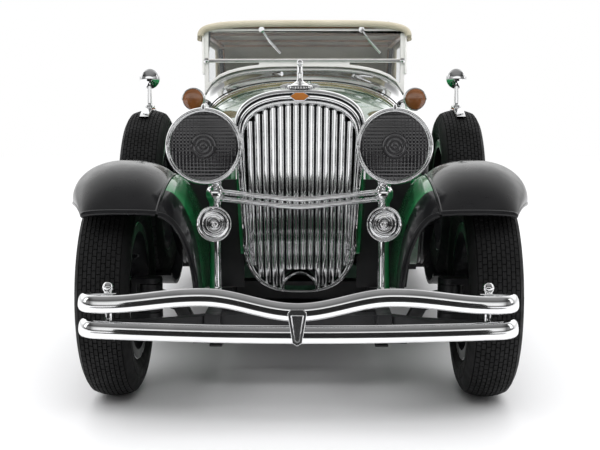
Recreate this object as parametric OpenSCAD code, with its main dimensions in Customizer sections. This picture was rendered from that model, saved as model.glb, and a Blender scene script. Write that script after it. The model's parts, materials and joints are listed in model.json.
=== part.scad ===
// Diecast collector car, 1:18: a long-bonnet convertible coupe of about 1930 with its top up.
// Millimetres. The car faces -Y and stands on Z = 0; +X is the car's own left side.

/* [Overall] */
// Length over both bumpers
overall_l = 310; // [309:0.5:311]
// Distance between the front and rear wheel centres
wheelbase = 201; // [200.5:0.5:201.5]
// Front wheel centres behind the front bumper face
front_overhang = 38; // [37.8:0.1:38.2]
// Distance between the tyre centres of one axle
track = 78.4; // [78:0.2:78.8]
// Height of the cloth top above the ground
roof_z = 90; // [89.5:0.1:90.5]

/* [Wheels] */
// Outside diameter of each tyre
tyre_d = 45; // [44.8:0.1:45.1]
// Width of each tyre at the sidewalls
tyre_w = 10.8; // [10.4:0.2:11]
// Diameter of the rim well under the tyre
rim_d = 27.4; // [27:0.2:27.6]
// Radius of the front stubs and of the rear axle rod
stub_r = 1.5; // [1.4:0.05:1.5]
// Radial clearance of every running fit
running_gap = 0.05; // [0.03:0.01:0.08]
// Spokes in each wire wheel
spoke_count = 20; // [12:4:24]

/* [Body] */
// Thickness of the body panels
wall = 1.2; // [1:0.1:1.3]
// Gap around each door and lid
shut_gap = 0.3; // [0.3:0.05:0.4]
// Vertical slats in the radiator grille
slat_count = 14; // [12:2:14]

/* [Display base] */
// Radius of the threaded holes for the display base screws
base_hole_r = 1.25; // [1:0.05:1.4]
// Depth of the threaded holes
base_hole_depth = 7; // [5:0.5:7]

/* [Hidden] */
$fn = 48;

// Main stations along the car
bumper_y = -overall_l / 2;
front_y = bumper_y + front_overhang;
rear_y = front_y + wheelbase;
wheel_x = track / 2;
wheel_z = tyre_d / 2;
cowl_y = -22;
screen_y = -12;
shell_y = [-120.5, -114];
tail_y = 130;
sill_z = 23;
frame_top = 22;

// Body sections: station Y, half width, top height, crown height, crown squareness
body_table = [
    [-22, 29, 69.4, 12, 2.2], [-17, 30, 71.5, 12.5, 2.5], [-12, 31, 74.7, 13, 3],
    [-5, 33.2, 67, 8, 2.5], [20, 34.4, 67, 8, 2.5], [47, 34.5, 67, 8, 2.5],
    [62, 34, 66.5, 8, 2.5], [84, 31.5, 62, 9, 2.5], [102, 28, 55, 10, 2.5],
    [118, 24, 45, 10, 2.4], [130, 20, 35, 8, 2.2]];
// Bonnet sections in the same order of columns
hood_table = [[-114, 13.8, 65.2, 8, 2.5], [-22, 29, 69.4, 12, 2.2]];
hood_y = [-113.7, -22.3];
hood_low_z = 30;
hood_wall = 0.9;
// Cloth top: station Y, half width, top height, lower edge
top_table = [
    [-14, 32.6, -1.2, 83], [-4, 32.6, -0.5, 83.4], [10, 32.6, 0, 83.6], [30, 32.6, -0.2, 83.6],
    [46, 32.6, -1, 83.6], [50, 32.6, -2.4, 63], [58, 32.4, -5, 62.6], [66, 31.6, -13, 61.8],
    [72, 30.6, -22, 60.9]];
top_wall = 1.2;
// Cabin opening, doors and rumble lid
cabin_half = 31;
cabin_y = [-11, 60];
door_y = [-5, 47];
door_low_z = 25;
door_inner = 29.5;
door_hinge = [34.3, -4.9];
lid_y = [72, 104];
lid_half = 19;
lid_hinge = [104.4, 54.8];
hinge_pin_r = 0.4;
hinge_out_r = 0.85;
// Spare wheels
spare = [40.5, -60, 38.9];
// Front steering
king_x = 32;
king_r = 1;
arm_l = 8;
column = [9, 8, 56];
column_tilt = 55;
hood_pin_x = 1.5;

// ---------- Shared functions ----------
function spow(v, e) = sign(v) * pow(abs(v), e);
// Point on a superellipse of half axes a and b at angle t
function oval(a, b, n, t) = [a * spow(cos(t), 2 / n), b * spow(sin(t), 2 / n)];
function lerp(a, b, f) = a + (b - a) * f;
function clamp01(v) = min(1, max(0, v));
function arc(c, r, a0, a1, n = 6) =
    [for (i = [0:n]) let (t = lerp(a0, a1, i / n)) [c.x + r * cos(t), c.y + r * sin(t)]];
// Column c of a table at station y, in straight lines between its rows
function at(table, y, c, i = 0) =
    (i >= len(table) - 2 || y <= table[i + 1][0])
    ? lerp(table[i][c], table[i + 1][c], (y - table[i][0]) / (table[i + 1][0] - table[i][0]))
    : at(table, y, c, i + 1);
// Side of the body: it tucks in below the belt line z0
function side_x(a, z0, z) = a * (1 - 0.08 * pow((z0 - z) / (z0 - sill_z), 2));
// One body section as a row of points from the left sill over the top to the right sill
function body_row(y, inset) =
    let (a = at(body_table, y, 1) - inset, b = at(body_table, y, 3), n = at(body_table, y, 4),
         z0 = at(body_table, y, 2) - b)
    concat(
        [for (i = [0:4]) let (z = lerp(sill_z, z0, i / 5)) [side_x(a, z0, z), y, z]],
        [for (t = [0:15:180]) let (p = oval(a, b - inset, n, t)) [p.x, y, z0 + p.y]],
        [for (i = [4:-1:0]) let (z = lerp(sill_z, z0, i / 5)) [-side_x(a, z0, z), y, z]]);
function hood_at(y, c) = at(hood_table, y, c);
function hood_z0(y) = hood_at(y, 2) - hood_at(y, 3);
// Rounded rectangle outline
function rrect(x0, y0, x1, y1, r) = concat(
    arc([x1 - r, y0 + r], r, -90, 0), arc([x1 - r, y1 - r], r, 0, 90),
    arc([x0 + r, y1 - r], r, 90, 180), arc([x0 + r, y0 + r], r, 180, 270));

// ---------- Shared shapes ----------
module pair() {
    children();
    mirror([1, 0, 0]) children();
}
// Closed thin solid between two grids of points, the outer one and the inner one
module sheet(outer, inner) {
    rows = len(outer);
    cols = len(outer[0]);
    n = rows * cols;
    function quad(a, b, c, d) = [[a, b, c], [a, c, d]];
    faces = concat(
        [for (r = [0:rows - 2], c = [0:cols - 2]) let (k = r * cols + c)
            each quad(k, k + 1, k + cols + 1, k + cols)],
        [for (r = [0:rows - 2], c = [0:cols - 2]) let (k = n + r * cols + c)
            each quad(k + cols, k + cols + 1, k + 1, k)],
        [for (c = [0:cols - 2]) each quad(c + 1, c, n + c, n + c + 1)],
        [for (c = [0:cols - 2]) let (k = (rows - 1) * cols + c)
            each quad(k, k + 1, n + k + 1, n + k)],
        [for (r = [0:rows - 2]) let (k = r * cols) each quad(k, k + cols, n + k + cols, n + k)],
        [for (r = [0:rows - 2]) let (k = r * cols + cols - 1)
            each quad(k + cols, k, n + k, n + k + cols)]);
    polyhedron([for (row = outer) each row, for (row = inner) each row], faces);
}
// Closed tube through rings of points
module loft(rings) {
    n = len(rings[0]);
    m = len(rings);
    faces = concat(
        [[for (i = [0:n - 1]) i]],
        [for (r = [0:m - 2], i = [0:n - 1]) let (j = (i + 1) % n, k = r * n)
            each [[k + j, k + i, k + n + i], [k + j, k + n + i, k + n + j]]],
        [[for (i = [n - 1:-1:0]) (m - 1) * n + i]]);
    polyhedron([for (ring = rings) each ring], faces);
}
// Round bar from p to q
module rod(p, q, r) {
    d = q - p;
    translate(p) rotate([0, acos(d.z / norm(d)), atan2(d.y, d.x)]) cylinder(r = r, h = norm(d));
}
// Bar along X, centred
module xbar(r, l, x = 0) {
    translate([x - l / 2, 0, 0]) rotate([0, 90, 0]) cylinder(r = r, h = l);
}
// Turns a shape made along +Z so that it faces forward
module facing(p) {
    translate(p) rotate([90, 0, 0]) children();
}
module box(lo, hi) {
    translate(lo) cube(hi - lo);
}

// ---------- Wheels ----------
module tyre() {
    half = tyre_w / 2;
    bead = rim_d / 2 + 0.05;
    rotate([0, 90, 0]) rotate_extrude($fn = 96) polygon(concat(
        [[bead, -3.8], [14.9, -3.9], [15.6, -half + 0.7], [17.5, -half], [19.6, -half + 0.1],
         [21.3, -half + 1], [22.1, -half + 2.4], [wheel_z, 0]],
        [[22.1, half - 2.4], [21.3, half - 1], [19.6, half - 0.1], [17.5, half],
         [15.6, half - 0.7], [14.9, 3.9], [bead, 3.8]]));
}
// Wire wheel with its hub along X; the cap is on the +X side
module rim(bore_r, bore_x0, bore_x1) {
    well = rim_d / 2;
    difference() {
        union() {
            rotate([0, 90, 0]) rotate_extrude($fn = 96) polygon(
                [[well - 1, -4.6], [14.6, -4.6], [14.6, -3.95], [well, -3.95], [well, 3.95],
                 [14.6, 3.95], [14.6, 4.6], [well - 1, 4.6]]);
            xbar(2.6, 6.2, 0.2);
            translate([3.2, 0, 0]) rotate([0, 90, 0]) cylinder(r1 = 3, r2 = 1.6, h = 1.8);
            for (i = [0:spoke_count - 1]) rotate([i * 360 / spoke_count, 0, 0])
                rod([i % 2 == 0 ? -2.2 : 2.4, 0, 2.2], [i % 4 < 2 ? -1 : 1, 0, well - 0.5], 0.4);
        }
        xbar(bore_r, bore_x1 - bore_x0, (bore_x0 + bore_x1) / 2);
    }
}
module front_rim() {
    rim(stub_r + running_gap, -4, 3.6);
}
module rear_rim() {
    rim(stub_r, -4, 3.6);
}
module tyre_front_left() {
    color("#141414") translate([wheel_x, front_y, wheel_z]) tyre();
}
module tyre_front_right() {
    color("#141414") mirror([1, 0, 0]) translate([wheel_x, front_y, wheel_z]) tyre();
}
module rim_front_left() {
    color("silver") translate([wheel_x, front_y, wheel_z]) front_rim();
}
module rim_front_right() {
    color("silver") mirror([1, 0, 0]) translate([wheel_x, front_y, wheel_z]) front_rim();
}
module rear_tyres() {
    color("#141414") pair() translate([wheel_x, rear_y, wheel_z]) tyre();
}
module rear_rims() {
    color("silver") pair() translate([wheel_x, rear_y, wheel_z]) rear_rim();
}
module rear_axle_rod() {
    color("dimgray") translate([0, rear_y, wheel_z]) union() {
        xbar(stub_r, 2 * (wheel_x + 3.5));
        xbar(4.2, 9);
    }
}
module spare_tyres() {
    color("#141414") pair() translate(spare) tyre();
}
module spare_rims() {
    color("silver") pair() translate(spare) rim(stub_r, -4, 3);
}

// ---------- Front axle and steering ----------
module front_axle_beam() {
    color("#1c1c1c") difference() {
        union() {
            translate([0, front_y + 1.5, 0]) rotate([90, 0, 0]) linear_extrude(3) polygon([
                [-30, 19.5], [-27, 18.5], [-23, 11.2], [23, 11.2], [27, 18.5], [30, 19.5],
                [30, 22.5], [25.5, 21.5], [21.5, 14], [-21.5, 14], [-25.5, 21.5], [-30, 22.5]]);
            pair() translate([king_x, front_y, 18]) cylinder(r = 2.4, h = 6);
        }
        pair() translate([king_x, front_y, 17]) cylinder(r = king_r + running_gap, h = 8);
    }
}
module knuckle() {
    arm_z = 16.6;
    translate([king_x, front_y, 0]) {
        translate([0, 0, arm_z]) cylinder(r = 2.4, h = 1.3);
        translate([0, 0, 24.1]) cylinder(r = 2.4, h = 1.3);
        translate([0, 0, arm_z + 0.2]) cylinder(r = king_r, h = 8);
        box([0, -2.2, arm_z], [4, 2.2, arm_z + 1.3]);
        box([0, -2.2, 24.1], [4, 2.2, 25.4]);
        box([2.8, -2.2, arm_z], [4, 2.2, 25.4]);
        translate([0, 0, wheel_z]) xbar(stub_r, wheel_x + 3.4 - king_x - 3.2,
            (wheel_x + 3.4 - king_x + 3.2) / 2);
        box([-1, 0, arm_z], [1, arm_l, arm_z + 1.3]);
        translate([0, arm_l, arm_z]) cylinder(r = 1, h = 1.3);
        translate([0, arm_l, 11.4]) cylinder(r = 0.6, h = 6);
    }
}
module knuckle_left() {
    color("#242424") union() knuckle();
}
module knuckle_right() {
    color("#242424") mirror([1, 0, 0]) union() knuckle();
}
module tie_rod() {
    eye_clear = 0.5;
    color("#242424") translate([0, front_y + arm_l, 12.6]) difference() {
        union() {
            xbar(0.9, 2 * king_x - 3);
            pair() translate([king_x, 0, -1]) cylinder(r = 1.9, h = 2);
        }
        pair() translate([king_x, 0, -2]) cylinder(r = 0.6 + eye_clear, h = 4);
    }
}
module steering_wheel() {
    color("#1a1a1a") translate(column) rotate([-column_tilt, 0, 0]) union() {
        rotate_extrude($fn = 64) translate([11.2, 0]) circle(r = 0.75, $fn = 24);
        for (a = [90, 210, 330]) rotate([0, 0, a]) rod([1.5, 0, 0], [11, 0, 0], 0.45);
        translate([0, 0, -1]) cylinder(r = 2, h = 2);
        translate([0, 0, -12]) cylinder(r = 0.6, h = 11.5);
    }
}

// ---------- Chassis ----------
module chassis_frame() {
    rail = [
        [bumper_y + 12, 18], [front_y - 14, 17], [front_y + 18, 17], [front_y + 26, 13],
        [58, 13], [66, 20], [74, 26], [100, 26], [118, 20], [128, 18], [128, 22], [119, 25],
        [104, 30], [74, 30], [62, 24], [58, frame_top], [bumper_y + 12, frame_top]];
    color("#1c1c1c") difference() {
        union() {
            pair() translate([15, 0, 0]) rotate([90, 0, 90]) linear_extrude(3) polygon(rail);
            for (y = [bumper_y + 14, -98, -24, 38]) box([-15.5, y, 17.5], [15.5, y + 4, 21.5]);
            box([-15.5, 108, 24], [15.5, 111, 27]);
            box([-15.5, -95, 12], [15.5, 57, 14]);
            for (y = [-70, 50]) translate([0, y, 12]) cylinder(r = 3, h = 8.5);
            pair() {
                for (y = [-32, 26, 48]) box([17, y, 15], [33, y + 4, 17]);
                box([15, rear_y - 3.5, 19], [18, rear_y + 3.5, 27]);
            }
        }
        for (y = [-70, 50]) translate([0, y, 11]) cylinder(r = base_hole_r, h = base_hole_depth + 1);
        translate([0, rear_y, wheel_z]) xbar(stub_r + running_gap, 40);
        for (y = [-22, 40]) pair() translate([10, y, 10]) cylinder(r = 0.8, h = 15);
    }
}
module chassis_screws() {
    color("silver") for (y = [-22, 40]) pair() {
        translate([10, y, 12]) cylinder(r = 0.8, h = 11.2);
        translate([10, y, 10.9]) cylinder(r = 1.6, h = 1.1);
    }
}
module leaf_springs() {
    module leaves(y, half, z, pad) {
        for (i = [0:3])
            box([15.2, y - half + 4 * i, z + 0.5 * i], [17.8, y + half - 4 * i, z + 0.5 * i + 0.5]);
        box([15.2, y - 3, z + 2], [17.8, y + 3, pad]);
    }
    color("#242424") pair() {
        leaves(front_y, 19, 14.2, 16.9);
        leaves(rear_y - 1, 19, 15, 18.9);
    }
}
module exhaust_system() {
    color("#5a5048") union() {
        rod([-23, -44, 12.4], [-23, 126, 12.4], 1.4);
        rod([-23, -16, 12.4], [-23, 20, 12.4], 2.5);
    }
    color("#5a5048") union() {
        rod([-9.6, -98, 40], [-9.6, -56, 40], 1.5);
        for (i = [0:3]) rod([-9.6, -94 + 12 * i, 40], [-6.1, -94 + 12 * i, 40], 1.1);
        rod([-9.6, -57, 40], [-9.6, -57, 24.5], 1.3);
    }
}
module engine() {
    color("#3f6b52") union() {
        box([-6, -102, 24], [6, -46, 45]);
        box([-4.5, -101, 44], [4.5, -47, 50]);
        for (y = [-96, -54]) pair() box([5, y, frame_top], [17.5, y + 4, 25]);
        box([-3, -46.5, 24], [3, -30, 33]);
        rod([0, -101, 38], [0, -106.5, 38], 1.2);
        for (a = [45, 135]) translate([0, -106, 38]) rotate([0, a, 0]) box([-7, -0.4, -1], [7, 0.4, 1]);
    }
}

// ---------- Body ----------
module body_skin(thick) {
    rows = [for (row = body_table) row[0]];
    sheet([for (y = rows) body_row(y, 0)], [for (y = rows) body_row(y, thick)]);
}
door_barrels = [[38.4, 41.6], [52.4, 55.6]];
module door() {
    difference() {
        union() {
            intersection() {
                body_skin(wall * 1.6);
                box([door_inner, door_y[0] + shut_gap, door_low_z], [40, door_y[1] - shut_gap, 80]);
            }
            for (s = door_barrels) {
                box([31.4, door_hinge.y, s[0]], [door_hinge.x, door_hinge.y + 2.8, s[1]]);
                translate([door_hinge.x, door_hinge.y, s[0]]) cylinder(r = hinge_out_r, h = s[1] - s[0]);
            }
            box([33.6, door_y[1] - 7, 56.6], [36.2, door_y[1] - 6, 57.6]);
            box([35.4, door_y[1] - 11, 56.6], [36.2, door_y[1] - 6, 57.6]);
        }
        translate([door_hinge.x, door_hinge.y, 30]) cylinder(r = hinge_pin_r + running_gap, h = 30);
    }
}
module door_left() {
    color("#1f5a2e") door();
}
module door_right() {
    color("#1f5a2e") mirror([1, 0, 0]) door();
}
lid_barrels = [[-12, -8], [8, 12]];
module rumble_lid() {
    color("#1f5a2e") difference() {
        union() {
            intersection() {
                body_skin(wall);
                box([-lid_half + shut_gap, lid_y[0] + shut_gap, 45],
                    [lid_half - shut_gap, lid_y[1] - shut_gap, 80]);
            }
            for (s = lid_barrels) {
                box([s[0], lid_hinge.x - 2.4, 54], [s[1], lid_hinge.x, 55]);
                translate([(s[0] + s[1]) / 2, lid_hinge.x, lid_hinge.y]) xbar(hinge_out_r, s[1] - s[0]);
            }
        }
        translate([0, lid_hinge.x, lid_hinge.y]) xbar(hinge_pin_r + running_gap, 40);
    }
}
module body_shell() {
    color("#1f5a2e") union() {
        difference() {
            body_skin(wall);
            box([-cabin_half, cabin_y[0], 60], [cabin_half, cabin_y[1], 80]);
            pair() box([20, door_y[0], door_low_z - shut_gap], [40, door_y[1], 80]);
            box([-lid_half, lid_y[0], 45], [lid_half, lid_y[1], 80]);
            // Notches over the rear axle
            translate([0, rear_y, wheel_z]) xbar(stub_r + 0.6, 80);
        }
        // Tail panel
        translate([0, tail_y, 0]) rotate([90, 0, 0]) linear_extrude(wall)
            polygon([for (p = body_row(tail_y, 0.3)) [p.x, p.z]]);
        // Fixed halves of the door hinges, with their pins
        pair() for (s = door_barrels) {
            translate([door_hinge.x, door_hinge.y, s[0] - 1.7]) cylinder(r = hinge_out_r, h = 1.5);
            translate([door_hinge.x, door_hinge.y, s[1] + 0.2]) cylinder(r = hinge_out_r, h = 1.5);
            translate([door_hinge.x, door_hinge.y, s[0] - 1]) cylinder(r = hinge_pin_r, h = s[1] - s[0] + 2);
            for (z = [s[0] - 1.7, s[1] + 0.2])
                box([31.4, door_hinge.y - 2.8, z], [door_hinge.x, door_hinge.y - 0.2, z + 1.5]);
        }
        // Fixed halves of the rumble lid hinges, with their pin
        translate([0, lid_hinge.x, lid_hinge.y]) xbar(hinge_pin_r, 27);
        for (x = [-13.6, -6.4, 6.4, 13.6]) {
            translate([x, lid_hinge.x, lid_hinge.y]) xbar(hinge_out_r, 2.4);
            box([x - 1.2, lid_hinge.x, 52], [x + 1.2, lid_hinge.x + 2.4, lid_hinge.y]);
        }
    }
}
module floor_pan() {
    color("#303030") union() {
        translate([0, 0, frame_top]) linear_extrude(1.4) polygon([
            [-25.2, cowl_y + 0.5], [25.2, cowl_y + 0.5], [27, screen_y], [28.8, door_y[0]], [29.4, 58],
            [-29.4, 58], [-28.8, door_y[0]], [-27, screen_y]]);
        // Firewall
        translate([0, cowl_y + 2.2, 0]) rotate([90, 0, 0]) linear_extrude(1.4) polygon(concat(
            [[25.2, frame_top]], [for (t = [0:15:180]) let (p = oval(27, 10, 2.2, t)) [p.x, 57.4 + p.y]],
            [[-25.2, frame_top]]));
        // Bulkhead behind the seat
        box([-29.4, 56.8, frame_top], [29.4, 58, 61.5]);
    }
}
module dashboard() {
    color("#2b2b2b") union() {
        translate([0, cabin_y[0] + 3, 0]) rotate([90, 0, 0]) linear_extrude(1.5)
            polygon(rrect(-29.4, 51, 29.4, 64, 2));
        for (x = [-12, -6, 0]) facing([x, cabin_y[0] + 3, 58]) mirror([0, 0, 1]) cylinder(r = 2.2, h = 0.6);
    }
    // Steering column tube, from the firewall to just below the wheel
    color("#2b2b2b") translate(column) rotate([-column_tilt, 0, 0]) difference() {
        translate([0, 0, -33]) cylinder(r = 1.25, h = 30);
        translate([0, 0, -14]) cylinder(r = 0.6 + running_gap, h = 12);
    }
}
module seats() {
    module cushion(y0, z0, y1, z1, half) {
        translate([-half, 0, 0]) rotate([90, 0, 90]) linear_extrude(2 * half)
            polygon(rrect(y0, z0, y1, z1, 2.5));
    }
    color("#7a4a2a") {
        cushion(20, 24, 43, 38, 27.5);
        cushion(43.3, 34, 51, 62, 27.5);
        cushion(76, 34, 92, 41, 15);
        cushion(92.3, 33, 98, 50, 15);
    }
}

// ---------- Bonnet ----------
// Row of points across one side of the bonnet top, from the belt line up to the hinge
function hood_top_row(y, inset) =
    let (a = hood_at(y, 1) - inset, b = hood_at(y, 3) - inset, n = hood_at(y, 4))
    [for (t = [1, 12, 24, 38, 52, 64, 74]) let (p = oval(a, b, n, t)) [p.x, y, hood_z0(y) + p.y],
     [hood_pin_x + 0.2, y, hood_z0(y) + b]];
hood_pin = [hood_pin_x, hood_y[0], hood_at(hood_y[0], 2) + 0.1];
hood_pin_back = [hood_pin_x, hood_y[1], hood_at(hood_y[1], 2) + 0.1];
function along_pin(f) = lerp(hood_pin, hood_pin_back, f);
module hood_top() {
    difference() {
        union() {
            sheet([for (y = hood_y) hood_top_row(y, 0)], [for (y = hood_y) hood_top_row(y, hood_wall)]);
            for (f = [[0.03, 0.3], [0.37, 0.63], [0.7, 0.97]])
                rod(along_pin(f[0]), along_pin(f[1]), hinge_out_r);
        }
        rod(along_pin(-0.05), along_pin(1.05), hinge_pin_r + running_gap);
        // Clearance for the fixed lugs of the hinge strip
        for (f = [[-0.02, 0.027], [0.303, 0.367], [0.633, 0.697], [0.973, 1.02]])
            rod(along_pin(f[0]), along_pin(f[1]), hinge_out_r + 0.3);
    }
}
module hood_top_left() {
    color("#1f5a2e") hood_top();
}
module hood_top_right() {
    color("#1f5a2e") mirror([1, 0, 0]) hood_top();
}
module hood_hinge_strip() {
    color("silver") union() {
        rod(along_pin(0.001) - [hood_pin_x, 0, 0.2], along_pin(0.999) - [hood_pin_x, 0, 0.2], 0.45);
        pair() {
            rod(along_pin(0.001), along_pin(0.999), hinge_pin_r);
            for (f = [[0.001, 0.022], [0.31, 0.36], [0.64, 0.69], [0.978, 0.999]]) {
                rod(along_pin(f[0]), along_pin(f[1]), hinge_out_r - 0.1);
                rod(along_pin((f[0] + f[1]) / 2), along_pin((f[0] + f[1]) / 2) - [hood_pin_x, 0, 0.2], 0.4);
            }
        }
    }
}
module hood_sides() {
    function row(y, inset) = let (a = hood_at(y, 1) - inset, z1 = hood_z0(y) - shut_gap)
        [for (i = [0:4]) let (z = lerp(hood_low_z, z1, i / 4))
            [a * (1 - 0.07 * pow((z1 - z) / (z1 - hood_low_z), 2)), y, z]];
    color("#1f5a2e") pair() sheet([for (y = hood_y) row(y, 0)], [for (y = hood_y) row(y, hood_wall)]);
}

// ---------- Front fenders ----------
fender_end_y = -42;
fender_arc_r = 29.5;
// Path rows: [y, z, normal y, normal z, half width, centre x, drop at the lip]
fender_rows = concat(
    [for (i = [0:6]) let (f = i / 7, t = lerp(44, 90, f), g = sin(90 * f))
        [front_y - fender_arc_r * cos(t), 21 + fender_arc_r * sin(t), -cos(t), sin(t),
         lerp(8.2, 11.6, g), lerp(34.4, 36.5, g), lerp(1.4, 9, g)]],
    [for (i = [0:14]) let (f = i / 14, y = lerp(front_y, fender_end_y, f))
        [y, 19 + 15.75 * (1 + cos(180 * (y - front_y) / 79)), 0, 1,
         lerp(11.6, 9, f), lerp(36.5, 40, f), max(1.5, 9 - 9.9 * f)]]);
function fender_point(k, u, inset) =
    let (c = spow(cos(u), 2 / 2.3), s = spow(sin(u), 2 / 2.3), drop = k[6] * (1 - s) + inset * s)
    [k[5] + (k[4] - inset) * c, k[0] - k[2] * drop, k[1] - k[3] * drop];
module fender_front() {
    skin = 1;
    angles = [0:12:144];
    difference() {
        sheet([for (k = fender_rows) [for (u = angles) fender_point(k, u, 0)]],
              [for (k = fender_rows) [for (u = angles) fender_point(k, u, skin)]]);
        // Slot for the spare wheel and its well
        translate(spare) xbar(24.2, 14.4);
    }
}
module fender_front_left() {
    color("#101010") fender_front();
}
module fender_front_right() {
    color("#101010") mirror([1, 0, 0]) fender_front();
}
// Panel between the front fender and the frame
apron_x = 19.5;
function apron_row(k, inset) =
    let (e = fender_point(k, 144, 0), low = min(sill_z, e.z - 1.5), dx = e.x - apron_x, dz = e.z - low)
    [for (v = [0:0.16:0.96])
        let (c = cos(90 * v), s = sin(90 * v), t = [dx * s, dz * c], m = norm(t) + 0.001)
        [apron_x + dx * (1 - c) + inset * t.y / m + 0.1, e.y, low + dz * s - inset * t.x / m]];
module inner_aprons() {
    skin = 0.8;
    color("#174a24") pair() sheet([for (k = fender_rows) apron_row(k, 0)],
                                  [for (k = fender_rows) apron_row(k, skin)]);
}
module spare_wells() {
    color("#101010") pair() translate(spare) rotate([0, 90, 0]) rotate([0, 0, -33])
        rotate_extrude(angle = 118, $fn = 96) translate([22.7, -6.9]) square([0.9, 13.8]);
}

// ---------- Rear fenders and running boards ----------
module rear_fenders() {
    skin = 1;
    function row(p, inset) =
        let (late = clamp01((p - 110) / 55), r = 27.5 + 5 * late * late - inset,
             y = rear_y - r * cos(p), z = wheel_z + r * sin(p),
             lip = 9 * clamp01((p + 20) / 50) - 5 * late, x_out = 49 - 3 * late,
             x_in = min(34.8, at(body_table, rear_y - (27.5 + 5 * late * late) * cos(p), 1) + 0.4))
        concat(
            [for (u = [0:15:90])
                let (c = spow(cos(u), 2 / 2.3), s = spow(sin(u), 2 / 2.3), d = lip * (1 - s))
                [x_out - 11 + (11 - inset) * c, y + d * cos(p), z - d * sin(p)]],
            [[lerp(x_out - 11, x_in, 0.5), y, z], [x_in, y, z]]);
    angles = [-5:8.5:165];
    color("#101010") pair() sheet([for (p = angles) row(p, 0)], [for (p = angles) row(p, skin)]);
}
module running_boards() {
    color("#181818") pair() union() {
        translate([0, 56, 0]) rotate([90, 0, 0]) linear_extrude(56 - fender_end_y - 0.5)
            polygon([[30, 17], [49, 17], [49, 18.6], [48.4, 19], [31, 19], [31, 22.8], [30, 22.8]]);
        for (i = [0:7]) box([35 + 1.5 * i, fender_end_y + 3, 18.8], [35.7 + 1.5 * i, 53, 19.4]);
    }
}

// ---------- Radiator ----------
// Outline of the shell and of its opening: crown, sides and rounded base
function radiator_outline(crown, z0, waist, zw, base, grow) = concat(
    [for (t = [0:12:180]) oval(crown[0] + grow, crown[1] + grow, 2.5, t) + [0, z0]],
    [for (t = [180:12:360]) oval(waist + grow, base + grow, 2.7, t) + [0, zw]]);
function opening_outline(grow) = radiator_outline([11.7, 7.2], 55, 10.4, 33.5, 10.4, grow);
module radiator_shell() {
    depth = shell_y[1] - shell_y[0];
    color("silver") translate([0, shell_y[1], 0]) rotate([90, 0, 0]) linear_extrude(depth) {
        difference() {
            polygon(radiator_outline([13.8, 8.2], 57.3, 12.3, 36, 13.4, 0));
            polygon(opening_outline(0));
        }
        intersection() {
            polygon(opening_outline(0.3));
            translate([0, 23.1]) difference() {
                circle(r = 3.9);
                circle(r = 3.3);
            }
        }
    }
}
// Height of the opening's edge at x: upper and lower ends of a slat
function slat_high(x) = 55 + 7.2 * pow(1 - pow(x / 11.7, 2.5), 0.4);
function slat_low(x) =
    x < 4.5 ? 27.8 : (x < 10.2 ? 33.5 - 10.4 * pow(1 - pow(x / 10.4, 2.7), 1 / 2.7) : 37.2);
module radiator_grille() {
    pitch = 1.52;
    color("silver") union() {
        for (i = [0:slat_count / 2 - 1]) let (x = (i + 0.5) * pitch) pair()
            translate([x, -119.2, slat_low(x + 0.5) + 0.4])
                cylinder(r = 0.64, h = slat_high(x + 0.6) - slat_low(x + 0.5) - 0.9, $fn = 24);
        for (bar = [[34.5, 9.9], [45, 9.9], [56, 10.9]])
            box([-bar[1], -118.9, bar[0] - 0.4], [bar[1], -118.3, bar[0] + 0.4]);
    }
}
module radiator_core() {
    color("#151515") translate([0, shell_y[1] - 0.5, 0]) rotate([90, 0, 0]) linear_extrude(3)
        difference() {
            polygon(opening_outline(-0.3));
            translate([0, 23.1]) circle(r = 4.2);
        }
}
module radiator_cap() {
    cap_y = -117.4;
    color("silver") translate([0, cap_y, 65.6]) union() {
        cylinder(r = 3, h = 0.8);
        translate([0, 0, 0.7]) cylinder(r1 = 1.5, r2 = 0.6, h = 1);
        cylinder(r = 0.5, h = 5.6);
        translate([0, -0.2, 5.5]) sphere(r = 0.7);
        box([-4, -0.5, 0.1], [4, 0.5, 0.7]);
    }
}
module radiator_badge() {
    color("#b0602a") facing([0, shell_y[0], 63.9]) linear_extrude(0.5)
        polygon([[-1.9, 0], [-0.8, 0.75], [0.8, 0.75], [1.9, 0], [0.8, -0.75], [-0.8, -0.75]]);
}

// ---------- Lamps and horns ----------
lamp = [19.2, -129, 53.8];
lamp_r = 7.8;
module headlamp_buckets() {
    color("silver") pair() facing(lamp) rotate_extrude() polygon([
        [0, -10], [2, -9.6], [4.4, -8], [6, -5.6], [6.9, -2.6], [6.95, -0.4], [6.6, -0.4],
        [6.4, -2.6], [5.4, -5.3], [3.9, -7.5], [1.8, -8.9], [0, -9.3]]);
}
module headlamp_rims() {
    color("silver") pair() facing(lamp) union() {
        rotate_extrude() polygon([
            [7, -0.3], [7.5, -1.1], [lamp_r, -0.6], [lamp_r, 0.3], [7.4, 0.8], [6.9, 0.5]]);
        translate([0, 7.8, -0.4]) rotate([0, 0, 45]) cylinder(r = 0.9, h = 0.8, $fn = 4);
    }
}
module headlamp_lenses() {
    color([0.25, 0.25, 0.28, 0.8]) pair() facing(lamp) rotate_extrude() polygon([
        [0, -0.2], [6.6, -0.2], [6.8, 0.1], [6.8, 0.35], [4.5, 0.8], [2.6, 0.95], [2.2, 1.3], [0, 1.4]]);
}
module headlamp_bracket() {
    post = [17.5, -123.4];
    color("silver") union() {
        pair() {
            translate([post.x, post.y, frame_top + 0.1]) cylinder(r = 1.2, h = 47.2 - frame_top);
            translate([post.x, post.y, frame_top + 0.1]) cylinder(r = 2, h = 1.5);
            translate([post.x, post.y, 44]) sphere(r = 1.9);
            for (dz = [-0.75, 0.75])
                rod([0, -127.2, 42.2 + dz], [post.x, post.y - 0.6, 43.6 + dz], 0.55);
        }
        for (dz = [-0.75, 0.75]) translate([0, -127.2, 42.2 + dz]) sphere(r = 0.56);
    }
}
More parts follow.
